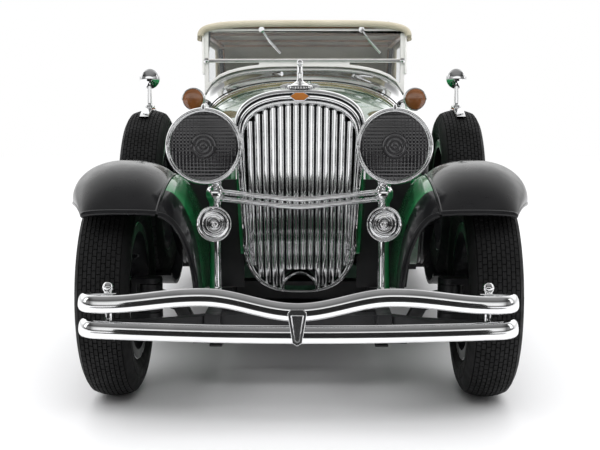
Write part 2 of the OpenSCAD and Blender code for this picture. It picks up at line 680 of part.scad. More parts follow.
module horns() {
    color("silver") pair() facing([17.2, -131, 38.2]) union() {
        rotate_extrude() polygon([
            [0, -1.2], [1.4, -1.2], [1.6, -0.4], [2.5, -0.9], [3.1, 0], [3.6, 0], [3.6, -0.6],
            [3, -2.2], [2, -4], [1.5, -6], [1.5, -6.2], [0, -6.2]]);
        translate([0, 0, -1.3]) sphere(r = 1);
    }
}
module cowl_lamps() {
    color("silver") pair() union() {
        facing([33.3, -21, 64.8]) rotate_extrude() polygon([
            [0, -8], [1.6, -7.6], [3, -5], [3.5, -1], [3.5, 0], [3, 0.4], [0, 0.7]]);
        rod([29.3, -17, 63.8], [31.4, -17, 64.4], 0.7);
    }
}
module tail_lamps() {
    color("#8a1c14") pair() union() {
        translate([31, 110, 41]) rotate([-90, 0, 0]) cylinder(r = 2.4, h = 4);
        rod([26.3, 111, 41], [30, 111, 41], 0.8);
    }
}

// ---------- Bumpers ----------
bar_profile = [
    [0, 1.65], [0.6, 1.4], [0.85, 0.95], [0.6, 0.5], [0.9, 0.05], [0.85, -0.6], [0.55, -1.25],
    [0, -1.65], [-0.6, -1.1], [-0.6, 1.1]];
bar_half = 37.7;
bar_bow = 4;
// Height of the upper bar: it dips at the centre and rises on both sides of it
function upper_bar_z(x) =
    let (u = min(abs(x), bar_half))
    u < 17 ? 24.3 + 1.3 * (1 - cos(180 * u / 17))
           : 26.9 - 0.95 * (1 - cos(180 * (u - 17) / (bar_half - 17)));
// Rows of a bar's right half: [x, y, heading]
function bar_rows(y0) =
    let (slope = atan(2 * bar_bow / bar_half), curl = 3.9,
         c = [bar_half - curl * sin(slope), y0 + bar_bow + curl * cos(slope)])
    concat([for (x = [0:4:bar_half]) [x, y0 + bar_bow * pow(x / bar_half, 2),
                                       atan(2 * bar_bow * x / pow(bar_half, 2))]],
           [for (t = [30:21:114]) [c.x + curl * sin(t), c.y - curl * cos(t), t]]);
module bumper_bar(y0, level, waved) {
    half = bar_rows(y0);
    rows = concat([for (i = [len(half) - 1:-1:1]) [-half[i][0], half[i][1], -half[i][2]]], half);
    loft([for (k = rows) let (z = waved ? upper_bar_z(k[0]) : level)
        [for (p = bar_profile) [k[0] + p.x * sin(k[2]), k[1] - p.x * cos(k[2]), z + p.y]]]);
}
module front_bumper_upper() {
    color("silver") bumper_bar(bumper_y + 1.85, 0, true);
}
module front_bumper_lower() {
    color("silver") bumper_bar(bumper_y + 1.85, 20.2, false);
}
module front_bumper_clamp() {
    color("silver") union() {
        difference() {
            facing([0, bumper_y + 0.9, 0]) linear_extrude(0.9) polygon([
                [0, 18.4], [0.9, 19], [1.75, 24.4], [1.1, 25.1], [-1.1, 25.1], [-1.75, 24.4], [-0.9, 19]]);
            facing([0, bumper_y + 0.5, 0]) linear_extrude(1) polygon([
                [0, 19.1], [0.4, 19.4], [1.1, 24], [-1.1, 24], [-0.4, 19.4]]);
        }
        box([-0.8, bumper_y + 0.5, 22], [0.8, bumper_y + 3.4, 22.5]);
        box([-1.5, bumper_y + 2.6, 19.4], [1.5, bumper_y + 3.4, 25]);
    }
}
module iron(y_bar, y_frame) {
    // Flat iron from the bumper bolt to the frame rail, with the bolt and its eye
    translate([0, 0, 20]) linear_extrude(1.6) polygon(concat(
        [[35.6, y_bar - 0.8], [36.6, y_bar], [35.6, y_bar + 1]],
        [for (f = [0.33, 0.66, 1]) [lerp(35.6, 18.1, f), lerp(y_bar + 1, y_frame + 3, f * f)]],
        [for (f = [1, 0.66, 0.33]) [lerp(34.6, 18.1, f), lerp(y_bar - 0.8, y_frame, f * f)]]));
    translate([35.6, y_bar, 18.7]) cylinder(r = 0.8, h = 8.6);
    translate([35.6, y_bar, 27.9]) sphere(r = 1.1);
}
module bumper_irons() {
    color("silver") pair() union() {
        iron(bumper_y + 8, bumper_y + 12.6);
        box([34, bumper_y + 7.2, 26.2], [39.6, bumper_y + 8.8, 26.9]);
    }
    color("silver") pair() union() mirror([0, 1, 0]) iron(-overall_l / 2 + 8, -127.6);
}
module rear_bumper() {
    color("silver") mirror([0, 1, 0]) {
        bumper_bar(bumper_y + 0.9, 24.4, false);
        bumper_bar(bumper_y + 0.9, 20.2, false);
        for (x = [-12, 12]) union() {
            box([x - 1.2, bumper_y + 2.4, 18.8], [x + 1.2, bumper_y + 3.4, 25.8]);
        }
    }
}

// ---------- Windscreen ----------
frame_y = [-13.4, -12];
screen_half = 30.6;
pane_half = 29.3;
bar_z = [76, 77.2];
pane_top_z = 85.4;
function cowl_z(x, lift) = 61.7 + 13 * pow(1 - pow(min(abs(x), 30.9) / 31, 3), 1 / 3) + lift;
// Outline between the divider and the cowl from x0 to x1, standing off the edges by gap
function low_pane(x0, x1, gap) = concat(
    [[x1 - gap, bar_z[0] - gap], [x0 + gap, bar_z[0] - gap]],
    [for (f = [0:0.2:1]) let (x = lerp(x0 + gap, x1 - gap, f)) [x, cowl_z(x, 1.1) + gap]]);
low_panes = [[13.9, pane_half], [1.2, 12.3]];
module screen_pane(gap) {
    polygon([[-pane_half + gap, bar_z[1] + gap], [pane_half - gap, bar_z[1] + gap],
             [pane_half - gap, pane_top_z - gap], [-pane_half + gap, pane_top_z - gap]]);
}
module windshield_frame() {
    color("silver") translate([0, frame_y[1], 0]) rotate([90, 0, 0])
        linear_extrude(frame_y[1] - frame_y[0]) difference() {
            polygon(concat(
                [for (x = [-screen_half:screen_half / 12:screen_half]) [x, cowl_z(x, 0.15)]],
                [[screen_half, 84.9], [screen_half - 2.2, 86.3], [2.2 - screen_half, 86.3],
                 [-screen_half, 84.9]]));
            screen_pane(0);
            polygon(low_pane(low_panes[0][0], low_panes[0][1], 0));
            mirror([1, 0]) polygon(low_pane(low_panes[0][0], low_panes[0][1], 0));
        }
}
module windshield_glass() {
    gap = 0.08;
    color([0.6, 0.65, 0.7, 0.4]) translate([0, frame_y[1] - 0.5, 0]) rotate([90, 0, 0])
        linear_extrude(0.4) {
            screen_pane(gap);
            polygon(low_pane(low_panes[0][0], low_panes[0][1], gap));
            mirror([1, 0]) polygon(low_pane(low_panes[0][0], low_panes[0][1], gap));
        }
}
module wipers() {
    blade_y = frame_y[0] - 0.75;
    module wiper(x) {
        union() {
            facing([x, frame_y[0] - 0.1, 85.9]) cylinder(r = 0.9, h = 1);
            rod([x, blade_y, 85.9], [x + 3.2, blade_y, 81.6], 0.35);
            rod([x + 2.2, blade_y, 82.9], [x + 5.8, blade_y, 78.9], 0.55);
        }
    }
    color("silver") {
        wiper(-13);
        wiper(17.4);
    }
}

// ---------- Cloth top ----------
module soft_top() {
    function row(y, inset) =
        let (a = at(top_table, y, 1) - inset, z1 = roof_z + at(top_table, y, 2) - inset,
             z0 = at(top_table, y, 3), b = z1 - z0, n = b < 8 ? 4 : 5)
        [for (t = [0:12:180]) let (p = oval(a, b, n, t)) [p.x, y, z0 + p.y]];
    rows = [for (k = top_table) k[0]];
    color("#cfc6ae") difference() {
        sheet([for (y = rows) row(y, 0)], [for (y = rows) row(y, top_wall)]);
        box([-11, 50, 70.4], [11, 80, 77]);
    }
}
module top_bows() {
    // Separate bars: a header over the screen, two rails, three cross bows and two back legs
    color("#8a6a44") {
        box([-22, screen_y - 1, 86.5], [22, screen_y + 1.6, 86.9]);
        pair() box([29.4, screen_y + 0.3, 84.2], [30.8, 46, 85.2]);
        for (y = [-11.4, 18, 43]) box([-29.2, y, 84.3], [29.2, y + 1.4, 85.1]);
        pair() rod([29.9, 46.3, 83.6], [29.9, 55.5, 65.4], 0.6);
    }
}
module rear_window() {
    // The pane lies in the slope of the top's back
    slope = atan(6 / 9);
    color([0.6, 0.65, 0.7, 0.4]) translate([0, 67.6, 73.6]) rotate([slope, 0, 0])
        box([-10.7, -0.25, -3.5], [10.7, 0.25, 3.5]);
}

// ---------- Spare wheel fittings ----------
module spare_mirrors() {
    strap_r = tyre_d / 2 + 0.15;
    color("silver") pair() translate(spare) union() {
        rotate([0, 90, 0]) rotate([0, 0, 155]) rotate_extrude(angle = 50, $fn = 96)
            translate([strap_r, -1.2]) square([0.6, 2.4]);
        translate([0, 0, strap_r + 0.3]) cylinder(r = 0.75, h = 69.6 - spare.z - strap_r - 0.3);
        translate([0, 0, 69.6 - spare.z]) rotate([-90, 0, 0]) translate([0, 0, -1])
            cylinder(r1 = 1.6, r2 = 2.7, h = 1.6);
    }
}

chassis_frame();
floor_pan();
body_shell();
fender_front_left();
fender_front_right();
inner_aprons();
rear_fenders();
running_boards();
spare_wells();
radiator_shell();
radiator_grille();
radiator_core();
radiator_cap();
radiator_badge();
hood_sides();
hood_hinge_strip();
headlamp_buckets();
headlamp_rims();
headlamp_lenses();
headlamp_bracket();
horns();
front_bumper_upper();
front_bumper_lower();
front_bumper_clamp();
bumper_irons();
rear_bumper();
windshield_frame();
windshield_glass();
wipers();
soft_top();
top_bows();
rear_window();
dashboard();
seats();
spare_tyres();
spare_rims();
spare_mirrors();
cowl_lamps();
tail_lamps();
engine();
exhaust_system();
front_axle_beam();
leaf_springs();
chassis_screws();
steering_wheel();
knuckle_left();
knuckle_right();
tie_rod();
tyre_front_left();
tyre_front_right();
rim_front_left();
rim_front_right();
rear_axle_rod();
rear_tyres();
rear_rims();
door_left();
door_right();
hood_top_left();
hood_top_right();
rumble_lid();
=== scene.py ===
"""Looks of a 1:18 diecast collector car, a long-bonnet convertible coupe with its top up.

Lengths are in millimetres until a mesh is made. The car faces -Y and +X is its own left.
"""

import json
from math import acos, atan, copysign, cos, degrees, hypot, pi, radians, sin

import bmesh
import bpy
import numpy as np
from mathutils import Matrix, Vector

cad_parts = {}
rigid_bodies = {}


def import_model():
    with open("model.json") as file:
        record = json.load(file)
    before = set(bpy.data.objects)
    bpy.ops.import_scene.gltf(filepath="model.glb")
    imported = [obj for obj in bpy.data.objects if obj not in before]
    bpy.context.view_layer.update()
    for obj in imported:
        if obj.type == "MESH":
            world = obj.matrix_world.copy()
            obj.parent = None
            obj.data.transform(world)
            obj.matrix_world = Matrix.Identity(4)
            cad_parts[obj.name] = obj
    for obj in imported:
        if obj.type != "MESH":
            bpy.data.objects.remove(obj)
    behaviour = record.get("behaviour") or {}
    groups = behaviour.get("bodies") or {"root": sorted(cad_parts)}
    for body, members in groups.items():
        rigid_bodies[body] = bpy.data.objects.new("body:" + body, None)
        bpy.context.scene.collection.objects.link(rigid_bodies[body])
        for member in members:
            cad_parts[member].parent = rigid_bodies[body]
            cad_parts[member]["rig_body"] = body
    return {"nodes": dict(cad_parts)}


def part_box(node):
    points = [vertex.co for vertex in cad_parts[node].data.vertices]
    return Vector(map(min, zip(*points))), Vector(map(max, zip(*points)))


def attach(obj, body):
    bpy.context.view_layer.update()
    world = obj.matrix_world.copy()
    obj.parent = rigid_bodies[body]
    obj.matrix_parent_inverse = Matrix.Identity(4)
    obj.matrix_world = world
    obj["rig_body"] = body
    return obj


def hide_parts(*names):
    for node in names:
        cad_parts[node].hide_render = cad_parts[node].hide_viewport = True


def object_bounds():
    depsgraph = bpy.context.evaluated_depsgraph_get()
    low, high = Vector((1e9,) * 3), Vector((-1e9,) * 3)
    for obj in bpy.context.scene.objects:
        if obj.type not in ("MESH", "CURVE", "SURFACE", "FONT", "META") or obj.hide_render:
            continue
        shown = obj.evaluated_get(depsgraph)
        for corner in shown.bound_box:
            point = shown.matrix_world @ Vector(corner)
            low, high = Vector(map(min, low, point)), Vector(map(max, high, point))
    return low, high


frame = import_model()
cad_low, cad_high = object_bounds()
MM = 0.001


# ---------- Places from the frame ----------
def span(node):
    """Lowest and highest corner of a CAD node in millimetres."""
    low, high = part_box(node)
    return np.array(low) / MM, np.array(high) / MM


def centre(node):
    low, high = span(node)
    return (low + high) / 2


front_hub = centre("tyre_front_left")
wheel_x, front_y, wheel_z = front_hub
rear_y = centre("rear_tyres")[1]
tyre_w = np.ptp([corner[0] for corner in span("tyre_front_left")])
tyre_r = wheel_z
spare_low, spare_high = span("spare_tyres")
spare = np.array([spare_high[0] - tyre_w / 2, *(spare_low[1:] + spare_high[1:]) / 2])
bumper_y = cad_low[1] / MM
roof_z = cad_high[2] / MM
lamp_low, lamp_high = span("headlamp_rims")
lamp_r = 7.8
lamp = np.array([lamp_high[0] - lamp_r, -129, lamp_low[2] + lamp_r])
shell_front = span("radiator_shell")[0][1]
fender_end_y = span("fender_front_left")[1][1]
sill_z = 23.0
wall = 1.2
shut_gap = 0.3
cabin_half, cabin_y = 31.0, (-11.0, 60.0)
door_y, door_low_z, door_inner = (-5.0, 47.0), 25.0, 29.5
door_hinge = (34.3, -4.9)
lid_y, lid_half, lid_hinge = (72.0, 104.0), 19.0, (104.4, 54.8)
screen_y = -13.4

# Body sections: station Y, half width, top height, crown height, crown squareness
BODY = np.array([
    [-22, 29, 69.4, 12, 2.2], [-17, 30, 71.5, 12.5, 2.5], [-12, 31, 74.7, 13, 3],
    [-5, 33.2, 67, 8, 2.5], [20, 34.4, 67, 8, 2.5], [47, 34.5, 67, 8, 2.5],
    [62, 34, 66.5, 8, 2.5], [84, 31.5, 62, 9, 2.5], [102, 28, 55, 10, 2.5],
    [118, 24, 45, 10, 2.4], [130, 20, 35, 8, 2.2]])
HOOD = np.array([[-114, 13.8, 65.2, 8, 2.5], [-22, 29, 69.4, 12, 2.2]])
HOOD_Y = (-113.7, -22.3)
# Cloth top: station Y, half width, top height from the roof, lower edge
TOP = np.array([
    [-14, 32.6, -1.2, 83], [-4, 32.6, -0.5, 83.4], [10, 32.6, 0, 83.6], [30, 32.6, -0.2, 83.6],
    [46, 32.6, -1, 83.6], [50, 32.6, -2.4, 63], [58, 32.4, -5, 62.6], [66, 31.6, -13, 61.8],
    [72, 30.6, -22, 60.9]])


# ---------- Numbers and curves ----------
def lerp(a, b, f):
    return a + (b - a) * f


def spow(v, e):
    return np.sign(v) * np.abs(v) ** e


def oval(a, b, n, t):
    """Point on a superellipse of half axes a and b at angle t in degrees."""
    t = radians(t)
    return a * spow(cos(t), 2 / n), b * spow(sin(t), 2 / n)


def smooth(table, y, column):
    """A column of a table at station y, on a curve that doesn't overshoot its rows."""
    xs, ys = table[:, 0], table[:, column]
    h, d = np.diff(xs), np.diff(ys) / np.diff(xs)
    slopes = np.concatenate([[d[0]], np.zeros(len(xs) - 2), [d[-1]]])
    for k in range(1, len(xs) - 1):
        if d[k - 1] * d[k] > 0:
            slopes[k] = 2 * d[k - 1] * d[k] / (d[k - 1] + d[k])
    k = int(np.clip(np.searchsorted(xs, y) - 1, 0, len(xs) - 2))
    f = float(np.clip((y - xs[k]) / h[k], 0, 1))
    return ((1 + 2 * f) * (1 - f) ** 2 * ys[k] + f * (1 - f) ** 2 * h[k] * slopes[k]
            + f * f * (3 - 2 * f) * ys[k + 1] + f * f * (f - 1) * h[k] * slopes[k + 1])


def unit(v):
    v = np.asarray(v, float)
    return v / max(np.linalg.norm(v), 1e-12)


def circle(count):
    """Angles evenly round a full turn, in radians."""
    return np.linspace(0, 2 * pi, count, endpoint=False)


def path(*points, steps=8):
    """Smooth curve through points, as a row of close points."""
    p = np.array([points[0], *points, points[-1]], float)
    out = []
    for k in range(1, len(p) - 2):
        for f in np.linspace(0, 1, steps, endpoint=k == len(p) - 3):
            a, b, c, d = p[k - 1:k + 3]
            out.append(0.5 * (2 * b + (c - a) * f + (2 * a - 5 * b + 4 * c - d) * f * f
                              + (3 * b - a - 3 * c + d) * f ** 3))
    return np.array(out)


# ---------- Shapes ----------
class Shape:
    """Points and faces in millimetres that become one mesh."""

    def __init__(self):
        self.points, self.faces, self.looks = [], [], []

    def add(self, points, faces, look=0):
        base = len(self.points)
        self.points.extend(tuple(float(c) for c in p) for p in points)
        self.faces.extend(tuple(base + i for i in f) for f in faces)
        self.looks.extend([look] * len(faces))
        return self

    def join(self, other):
        base = len(self.points)
        self.points += other.points
        self.faces += [tuple(base + i for i in f) for f in other.faces]
        self.looks += other.looks
        return self

    def moved(self, matrix):
        new = Shape()
        new.points = [tuple(matrix @ Vector(p)) for p in self.points]
        new.faces, new.looks = list(self.faces), list(self.looks)
        return new

    def mirrored(self):
        new = Shape()
        new.points = [(-x, y, z) for x, y, z in self.points]
        new.faces, new.looks = [f[::-1] for f in self.faces], list(self.looks)
        return new

    def paired(self):
        return Shape().join(self).join(self.mirrored())

    def grid(self, rows, across=False, along=False, look=0):
        """Faces between rows of points. across closes each row, along joins last to first."""
        n, m = len(rows), len(rows[0])
        faces = [
            (r * m + c, r * m + (c + 1) % m, (r + 1) % n * m + (c + 1) % m, (r + 1) % n * m + c)
            for r in range(n if along else n - 1) for c in range(m if across else m - 1)]
        return self.add([p for row in rows for p in row], faces, look)

    def ends(self, first, last):
        """Faces that close the first and last ring of a bar."""
        ring = tuple(range(len(first)))
        return self.add(first, [ring]).add(last, [ring[::-1]])

    def skin(self, outer, inner):
        """Closed thin solid between two grids of points."""
        n, m = len(outer), len(outer[0])
        self.grid(outer)
        self.grid([row[::-1] for row in inner])
        ring = ([(0, c) for c in range(m)] + [(r, m - 1) for r in range(1, n)]
                + [(n - 1, c) for c in range(m - 2, -1, -1)]
                + [(r, 0) for r in range(n - 2, 0, -1)])
        return self.grid([[grid[r][c] for r, c in ring] for grid in (outer, inner)], across=True)

    def walled(self, row, keys, thick, start=0):
        """Thin solid whose points are row(key, inset), from inset start to thick."""
        return self.skin([row(k, start) for k in keys], [row(k, thick) for k in keys])

    def tube(self, line, radius, sides=10, closed=False):
        """Round tube along a line of points. radius is a number, or one for each point."""
        line = np.asarray(line, float)
        n = len(line)
        radii = np.broadcast_to(radius, (n,))
        ahead = np.roll(line, -1, 0) - np.roll(line, 1, 0)
        if not closed:
            ahead[0], ahead[-1] = line[1] - line[0], line[-1] - line[-2]
        side = np.cross(unit(ahead[0]), (0, 0, 1) if abs(unit(ahead[0])[2]) < 0.9 else (1, 0, 0))
        rings = []
        for k in range(n):
            t = unit(ahead[k])
            side = unit(side - t * np.dot(side, t))
            up = np.cross(t, side)
            rings.append([line[k] + radii[k] * (cos(a) * side + sin(a) * up)
                          for a in circle(sides)])
        self.grid(rings, across=True, along=closed)
        return self if closed else self.ends(rings[0], rings[-1])

    def lathe(self, profile, steps=64, look=0):
        """Profile of (radius, height) turned round +Z."""
        rows = [[(r * cos(a), r * sin(a), z) for a in circle(steps)] for r, z in profile]
        return self.grid(rows, across=True, look=look)

    def block(self, low, high):
        (x0, y0, z0), (x1, y1, z1) = low, high
        points = [(x0, y0, z0), (x1, y0, z0), (x1, y1, z0), (x0, y1, z0),
                  (x0, y0, z1), (x1, y0, z1), (x1, y1, z1), (x0, y1, z1)]
        faces = [(3, 2, 1, 0), (4, 5, 6, 7), (0, 1, 5, 4), (1, 2, 6, 5), (2, 3, 7, 6), (3, 0, 4, 7)]
        return self.add(points, faces)

    def slab(self, outline, height):
        """Outline of (x, y) raised along +Z."""
        n = len(outline)
        points = [(x, y, z) for z in (0, height) for x, y in outline]
        faces = [tuple(range(n))[::-1], tuple(range(n, 2 * n))]
        faces += [(i, (i + 1) % n, n + (i + 1) % n, n + i) for i in range(n)]
        return self.add(points, faces)


def at(*point):
    """Puts a shape at a point."""
    return Matrix.Translation(Vector(point))


def turned(*point, axis="X", degrees=90):
    """Turns a shape made along +Z about an axis and puts it at a point."""
    return at(*point) @ Matrix.Rotation(radians(degrees), 4, axis)


def facing(*point):
    """Faces a shape made along +Z forward, at a point."""
    return turned(*point)


def facing_back(*point):
    return turned(*point, degrees=-90)


def along_x(*point):
    return turned(*point, axis="Y")


def rounded(profile, radius):
    """A lathe profile with its inner corners rounded off."""
    out = [profile[0]]
    for a, b, c in zip(profile, profile[1:], profile[2:]):
        a, b, c = (np.array(p, float) for p in (a, b, c))
        r = min(radius, np.linalg.norm(a - b) / 2.2, np.linalg.norm(c - b) / 2.2)
        start, end = b + unit(a - b) * r, b + unit(c - b) * r
        out += [tuple(start * (1 - f) ** 2 + 2 * b * f * (1 - f) + end * f * f)
                for f in np.linspace(0, 1, 4)]
    return out + [profile[-1]]


def turning(place, steps, radius, *profile):
    """A lathe shape with its corners rounded off, in its place."""
    return Shape().lathe(rounded(profile, radius), steps).moved(place)


def ball(radius, steps, place):
    profile = [(radius * cos(a), radius * sin(a))
               for a in np.linspace(-pi / 2, pi / 2, 13)]
    return Shape().lathe(profile, steps).moved(place)


def on_side(side, shape):
    """A shape made for the left side, on the side that is named."""
    return shape if side == "left" else shape.mirrored()


def placed(name, data):
    """A new object in the scene."""
    obj = bpy.data.objects.new(name, data)
    bpy.context.scene.collection.objects.link(obj)
    return obj


def cleaned(mesh, merge, flatten=False):
    """Merges points closer than merge metres, and joins flat faces if flatten is set."""
    bm = bmesh.new()
    bm.from_mesh(mesh)
    bmesh.ops.remove_doubles(bm, verts=bm.verts, dist=merge)
    if flatten:
        bmesh.ops.dissolve_limit(bm, angle_limit=radians(1.5), verts=bm.verts, edges=bm.edges)
    else:
        bmesh.ops.dissolve_degenerate(bm, edges=bm.edges, dist=1e-7)
    bmesh.ops.recalc_face_normals(bm, faces=bm.faces)
    bm.to_mesh(mesh)
    bm.free()


def mesh_object(name, shape):
    mesh = bpy.data.meshes.new(name)
    mesh.from_pydata([Vector(p) * MM for p in shape.points], [], shape.faces)
    mesh.polygons.foreach_set("material_index", shape.looks)
    cleaned(mesh, 2e-7)
    return placed(name, mesh)


def carve(obj, shape):
    """Cuts a shape out of an object, with the result applied."""
    tool = mesh_object("cutter", shape)
    modifier = obj.modifiers.new("cut", "BOOLEAN")
    modifier.operation, modifier.solver, modifier.object = "DIFFERENCE", "EXACT", tool
    bpy.context.view_layer.update()
    result = bpy.data.meshes.new_from_object(
        obj.evaluated_get(bpy.context.evaluated_depsgraph_get()))
    obj.modifiers.clear()
    obj.data = result
    bpy.data.objects.remove(tool)
    return obj


def finished(obj, looks, stands_for=(), body="root", slot=None, bevel=0.0, angle=38):
    """Gives an object its materials, shading, rounded edges and body; slot is not used."""
    looks = looks if isinstance(looks, list) else [looks]
    mesh = obj.data
    index = np.zeros(len(mesh.polygons), np.int32)
    mesh.polygons.foreach_get("material_index", index)
    mesh.materials.clear()
    for look in looks:
        mesh.materials.append(look)
    mesh.polygons.foreach_set("material_index", np.clip(index, 0, len(looks) - 1))
    mesh.polygons.foreach_set("use_smooth", [True] * len(mesh.polygons))
    mesh.set_sharp_from_angle(angle=radians(angle))
    if bevel:
        modifier = obj.modifiers.new("edges", "BEVEL")
        modifier.width, modifier.segments = bevel * MM, 2
        modifier.limit_method, modifier.angle_limit = "ANGLE", radians(angle)
        modifier.use_clamp_overlap = True
    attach(obj, body)
    if stands_for:
        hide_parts(*([stands_for] if isinstance(stands_for, str) else stands_for))
    return obj


def piece(name, shape, looks, stands_for=(), **settings):
    return finished(mesh_object(name, shape), looks, stands_for, **settings)


def refined(node, looks, bevel=0.15, slot=None):
    """A CAD node's own shape with its hard edges rounded, in its place."""
    source = frame["nodes"][node]
    mesh = source.data.copy()
    cleaned(mesh, 1e-6, flatten=True)
    mesh.polygons.foreach_set("material_index", [0] * len(mesh.polygons))
    return finished(placed(node + "_finish", mesh), looks, node, source["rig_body"], slot, bevel, 32)


def kept(node, look):
    """A CAD node that stays as it is, in a better material."""
    materials = frame["nodes"][node].data.materials
    materials.clear()
    materials.append(look)


# ---------- Materials ----------
class Tree:
    """A node tree, built up node by node."""

    def __init__(self, owner):
        owner.use_nodes = True
        self.nodes, self.links = owner.node_tree.nodes, owner.node_tree.links

    def node(self, kind, inputs=(), **settings):
        node = self.nodes.new("ShaderNode" + kind)
        for key, value in settings.items():
            setattr(node, key, value)
        for key, value in dict(inputs).items():
            if isinstance(value, bpy.types.NodeSocket):
                self.links.new(value, node.inputs[key])
            else:
                node.inputs[key].default_value = value
        return node

    def spread(self, source, low, high):
        """Brings low to high of a source to 0 to 1."""
        inputs = {"Value": source, "From Min": low, "From Max": high}
        return self.node("MapRange", inputs).outputs[0]

    def ramp(self, factor, *stops):
        """Colour along stops of (position, (r, g, b))."""
        ramp = self.node("ValToRGB", {"Fac": factor})
        while len(ramp.color_ramp.elements) < len(stops):
            ramp.color_ramp.elements.new(0.5)
        for element, (position, colour) in zip(ramp.color_ramp.elements, stops):
            element.position, element.color = position, (*colour, 1)
        return ramp.outputs["Color"]

    def mixed(self, factor, first, second):
        """One shader where factor is 0 and the other where it is 1."""
        return self.node("MixShader", {0: factor, 1: first, 2: second}).outputs[0]


class Look(Tree):
    """A material with a Principled shader."""

    def __init__(self, name, **values):
        self.material = bpy.data.materials.new(name)
        super().__init__(self.material)
        self.shader = self.nodes["Principled BSDF"]
        for socket, value in values.items():
            self.shader.inputs[socket.replace("_", " ")].default_value = value
        self.place = self.nodes.new("ShaderNodeTexCoord").outputs["Object"]

    def noise(self, size, detail=3.0, stretch=(1, 1, 1)):
        """Noise whose features are about size millimetres, stretched along an axis."""
        place = self.node("Mapping", {"Vector": self.place, "Scale": stretch}).outputs[0]
        return self.node("TexNoise", {"Vector": place, "Scale": 1 / (size * MM),
                                      "Detail": detail}).outputs["Fac"]

    def colours(self, factor, *stops):
        self.links.new(self.ramp(factor, *stops), self.shader.inputs["Base Color"])
        return self

    def roughness(self, factor, low, high):
        spread = self.node("MapRange", {"Value": factor, "From Min": 0.3, "From Max": 0.7,
                                        "To Min": low, "To Max": high})
        self.links.new(spread.outputs[0], self.shader.inputs["Roughness"])
        return self

    def relief(self, height, depth, strength=0.5):
        """Bump of depth millimetres on top of what is there already."""
        inputs = {"Height": height, "Strength": strength, "Distance": depth * MM}
        before = self.shader.inputs["Normal"].links
        if before:
            inputs["Normal"] = before[0].from_socket
        bump = self.node("Bump", inputs)
        self.links.new(bump.outputs[0], self.shader.inputs["Normal"])
        return self

    def cells(self, size, **inputs):
        """How far each point is from the edge of a cell of about size millimetres."""
        inputs = {"Vector": self.place, "Scale": 1 / (size * MM), **inputs}
        return self.node("TexVoronoi", inputs, feature="DISTANCE_TO_EDGE").outputs["Distance"]

    def wave(self, axis, pitch):
        """Sine ridges, pitch millimetres apart, along X, Y, Z or a sum of them such as XZ."""
        parts = self.node("SeparateXYZ", {"Vector": self.place}).outputs
        total = parts[axis[0]]
        for other in axis[1:]:
            total = self.node("Math", {0: total, 1: parts[other]}, operation="ADD").outputs[0]
        turns = self.times(total, 2 * pi / (pitch * MM))
        return self.node("Math", {0: turns}, operation="SINE").outputs[0]

    def times(self, a, b):
        return self.node("Math", {0: a, 1: b}, operation="MULTIPLY").outputs[0]


def paint(name, dark, light, flake=0.0, coat=1.0):
    """Glossy lacquer: a clear coat over a base that shifts a little in depth."""
    look = Look(name, Roughness=0.32, Coat_Weight=coat, Coat_Roughness=0.025, Coat_IOR=1.45,
                Metallic=flake, Specular_IOR_Level=0.1)
    look.colours(look.noise(9), (0.3, dark), (0.7, light))
    look.roughness(look.noise(3, 5), 0.26, 0.4)
    return look.relief(look.noise(1.6, 2), 0.02, 0.06).material


def chrome_plate(name, tone, low, high, smudge=7):
    look = Look(name, Metallic=1.0)
    darker = tuple(c * 0.9 for c in tone)
    look.colours(look.noise(smudge, 4), (0.35, darker), (0.6, tone))
    look.roughness(look.noise(2.5, 6), low, high)
    return look.relief(look.noise(2.2, 2), 0.02, 0.05).material


def dull(name, dark, light, low, high, grain, depth, metal=0.0, size=6, shine=0.3):
    """Satin or matt stuff with a grain in its surface."""
    look = Look(name, Metallic=metal, Specular_IOR_Level=shine)
    look.colours(look.noise(size, 4), (0.3, dark), (0.72, light))
    look.roughness(look.noise(size / 3, 4), low, high)
    return look.relief(look.noise(grain, 3), depth, 0.5).material


def canvas_cloth(name, dark, light):
    """Closely woven duck: two sets of threads, over and under."""
    look = Look(name, Sheen_Weight=0.25, Sheen_Roughness=0.5, Specular_IOR_Level=0.2)
    weave = look.times(look.wave("XZ", 0.62), look.wave("YZ", 0.62))
    look.colours(look.noise(12, 5), (0.32, dark), (0.68, light))
    look.roughness(look.noise(2), 0.78, 0.94)
    look.relief(weave, 0.06, 0.7)
    return look.relief(look.noise(5, 4), 0.12, 0.25).material


def leather_hide(name, dark, light):
    look = Look(name, Specular_IOR_Level=0.45, Coat_Weight=0.08, Coat_Roughness=0.35)
    look.colours(look.noise(8, 5), (0.3, dark), (0.7, light))
    look.roughness(look.noise(3), 0.42, 0.6)
    return look.relief(look.cells(0.55), 0.05, 0.6).material


def timber(name, dark, light):
    look = Look(name, Coat_Weight=0.3, Coat_Roughness=0.2)
    look.colours(look.noise(1.2, 6, stretch=(0.12, 1, 1)), (0.35, dark), (0.65, light))
    look.roughness(look.noise(2), 0.4, 0.6)
    return look.relief(look.noise(0.8, 5, stretch=(0.1, 1, 1)), 0.04, 0.4).material


def glass(name, tint, clear, rough):
    look = Look(name, Transmission_Weight=clear, IOR=1.45)
    look.colours(look.noise(14), (0.3, tuple(c * 0.94 for c in tint)), (0.7, tint))
    return look.roughness(look.noise(6, 4), rough, rough + 0.02).material


def lens(name, dark, light):
    """Ribbed or coloured plastic lens with a bright face and depth behind it."""
    look = Look(name, Transmission_Weight=0.25, IOR=1.5, Coat_Weight=0.8, Coat_Roughness=0.05)
    look.colours(look.noise(5, 4), (0.3, dark), (0.7, light))
    return look.roughness(look.noise(2), 0.1, 0.22).material


def core_mesh(name):
    """Fine honeycomb of a radiator block."""
    look = Look(name, Metallic=0.3)
    look.colours(look.noise(4), (0.3, (0.006, 0.006, 0.007)), (0.7, (0.02, 0.02, 0.022)))
    look.roughness(look.noise(2), 0.45, 0.7)
    return look.relief(look.cells(0.7, Randomness=0.1), 0.2, 1.0).material


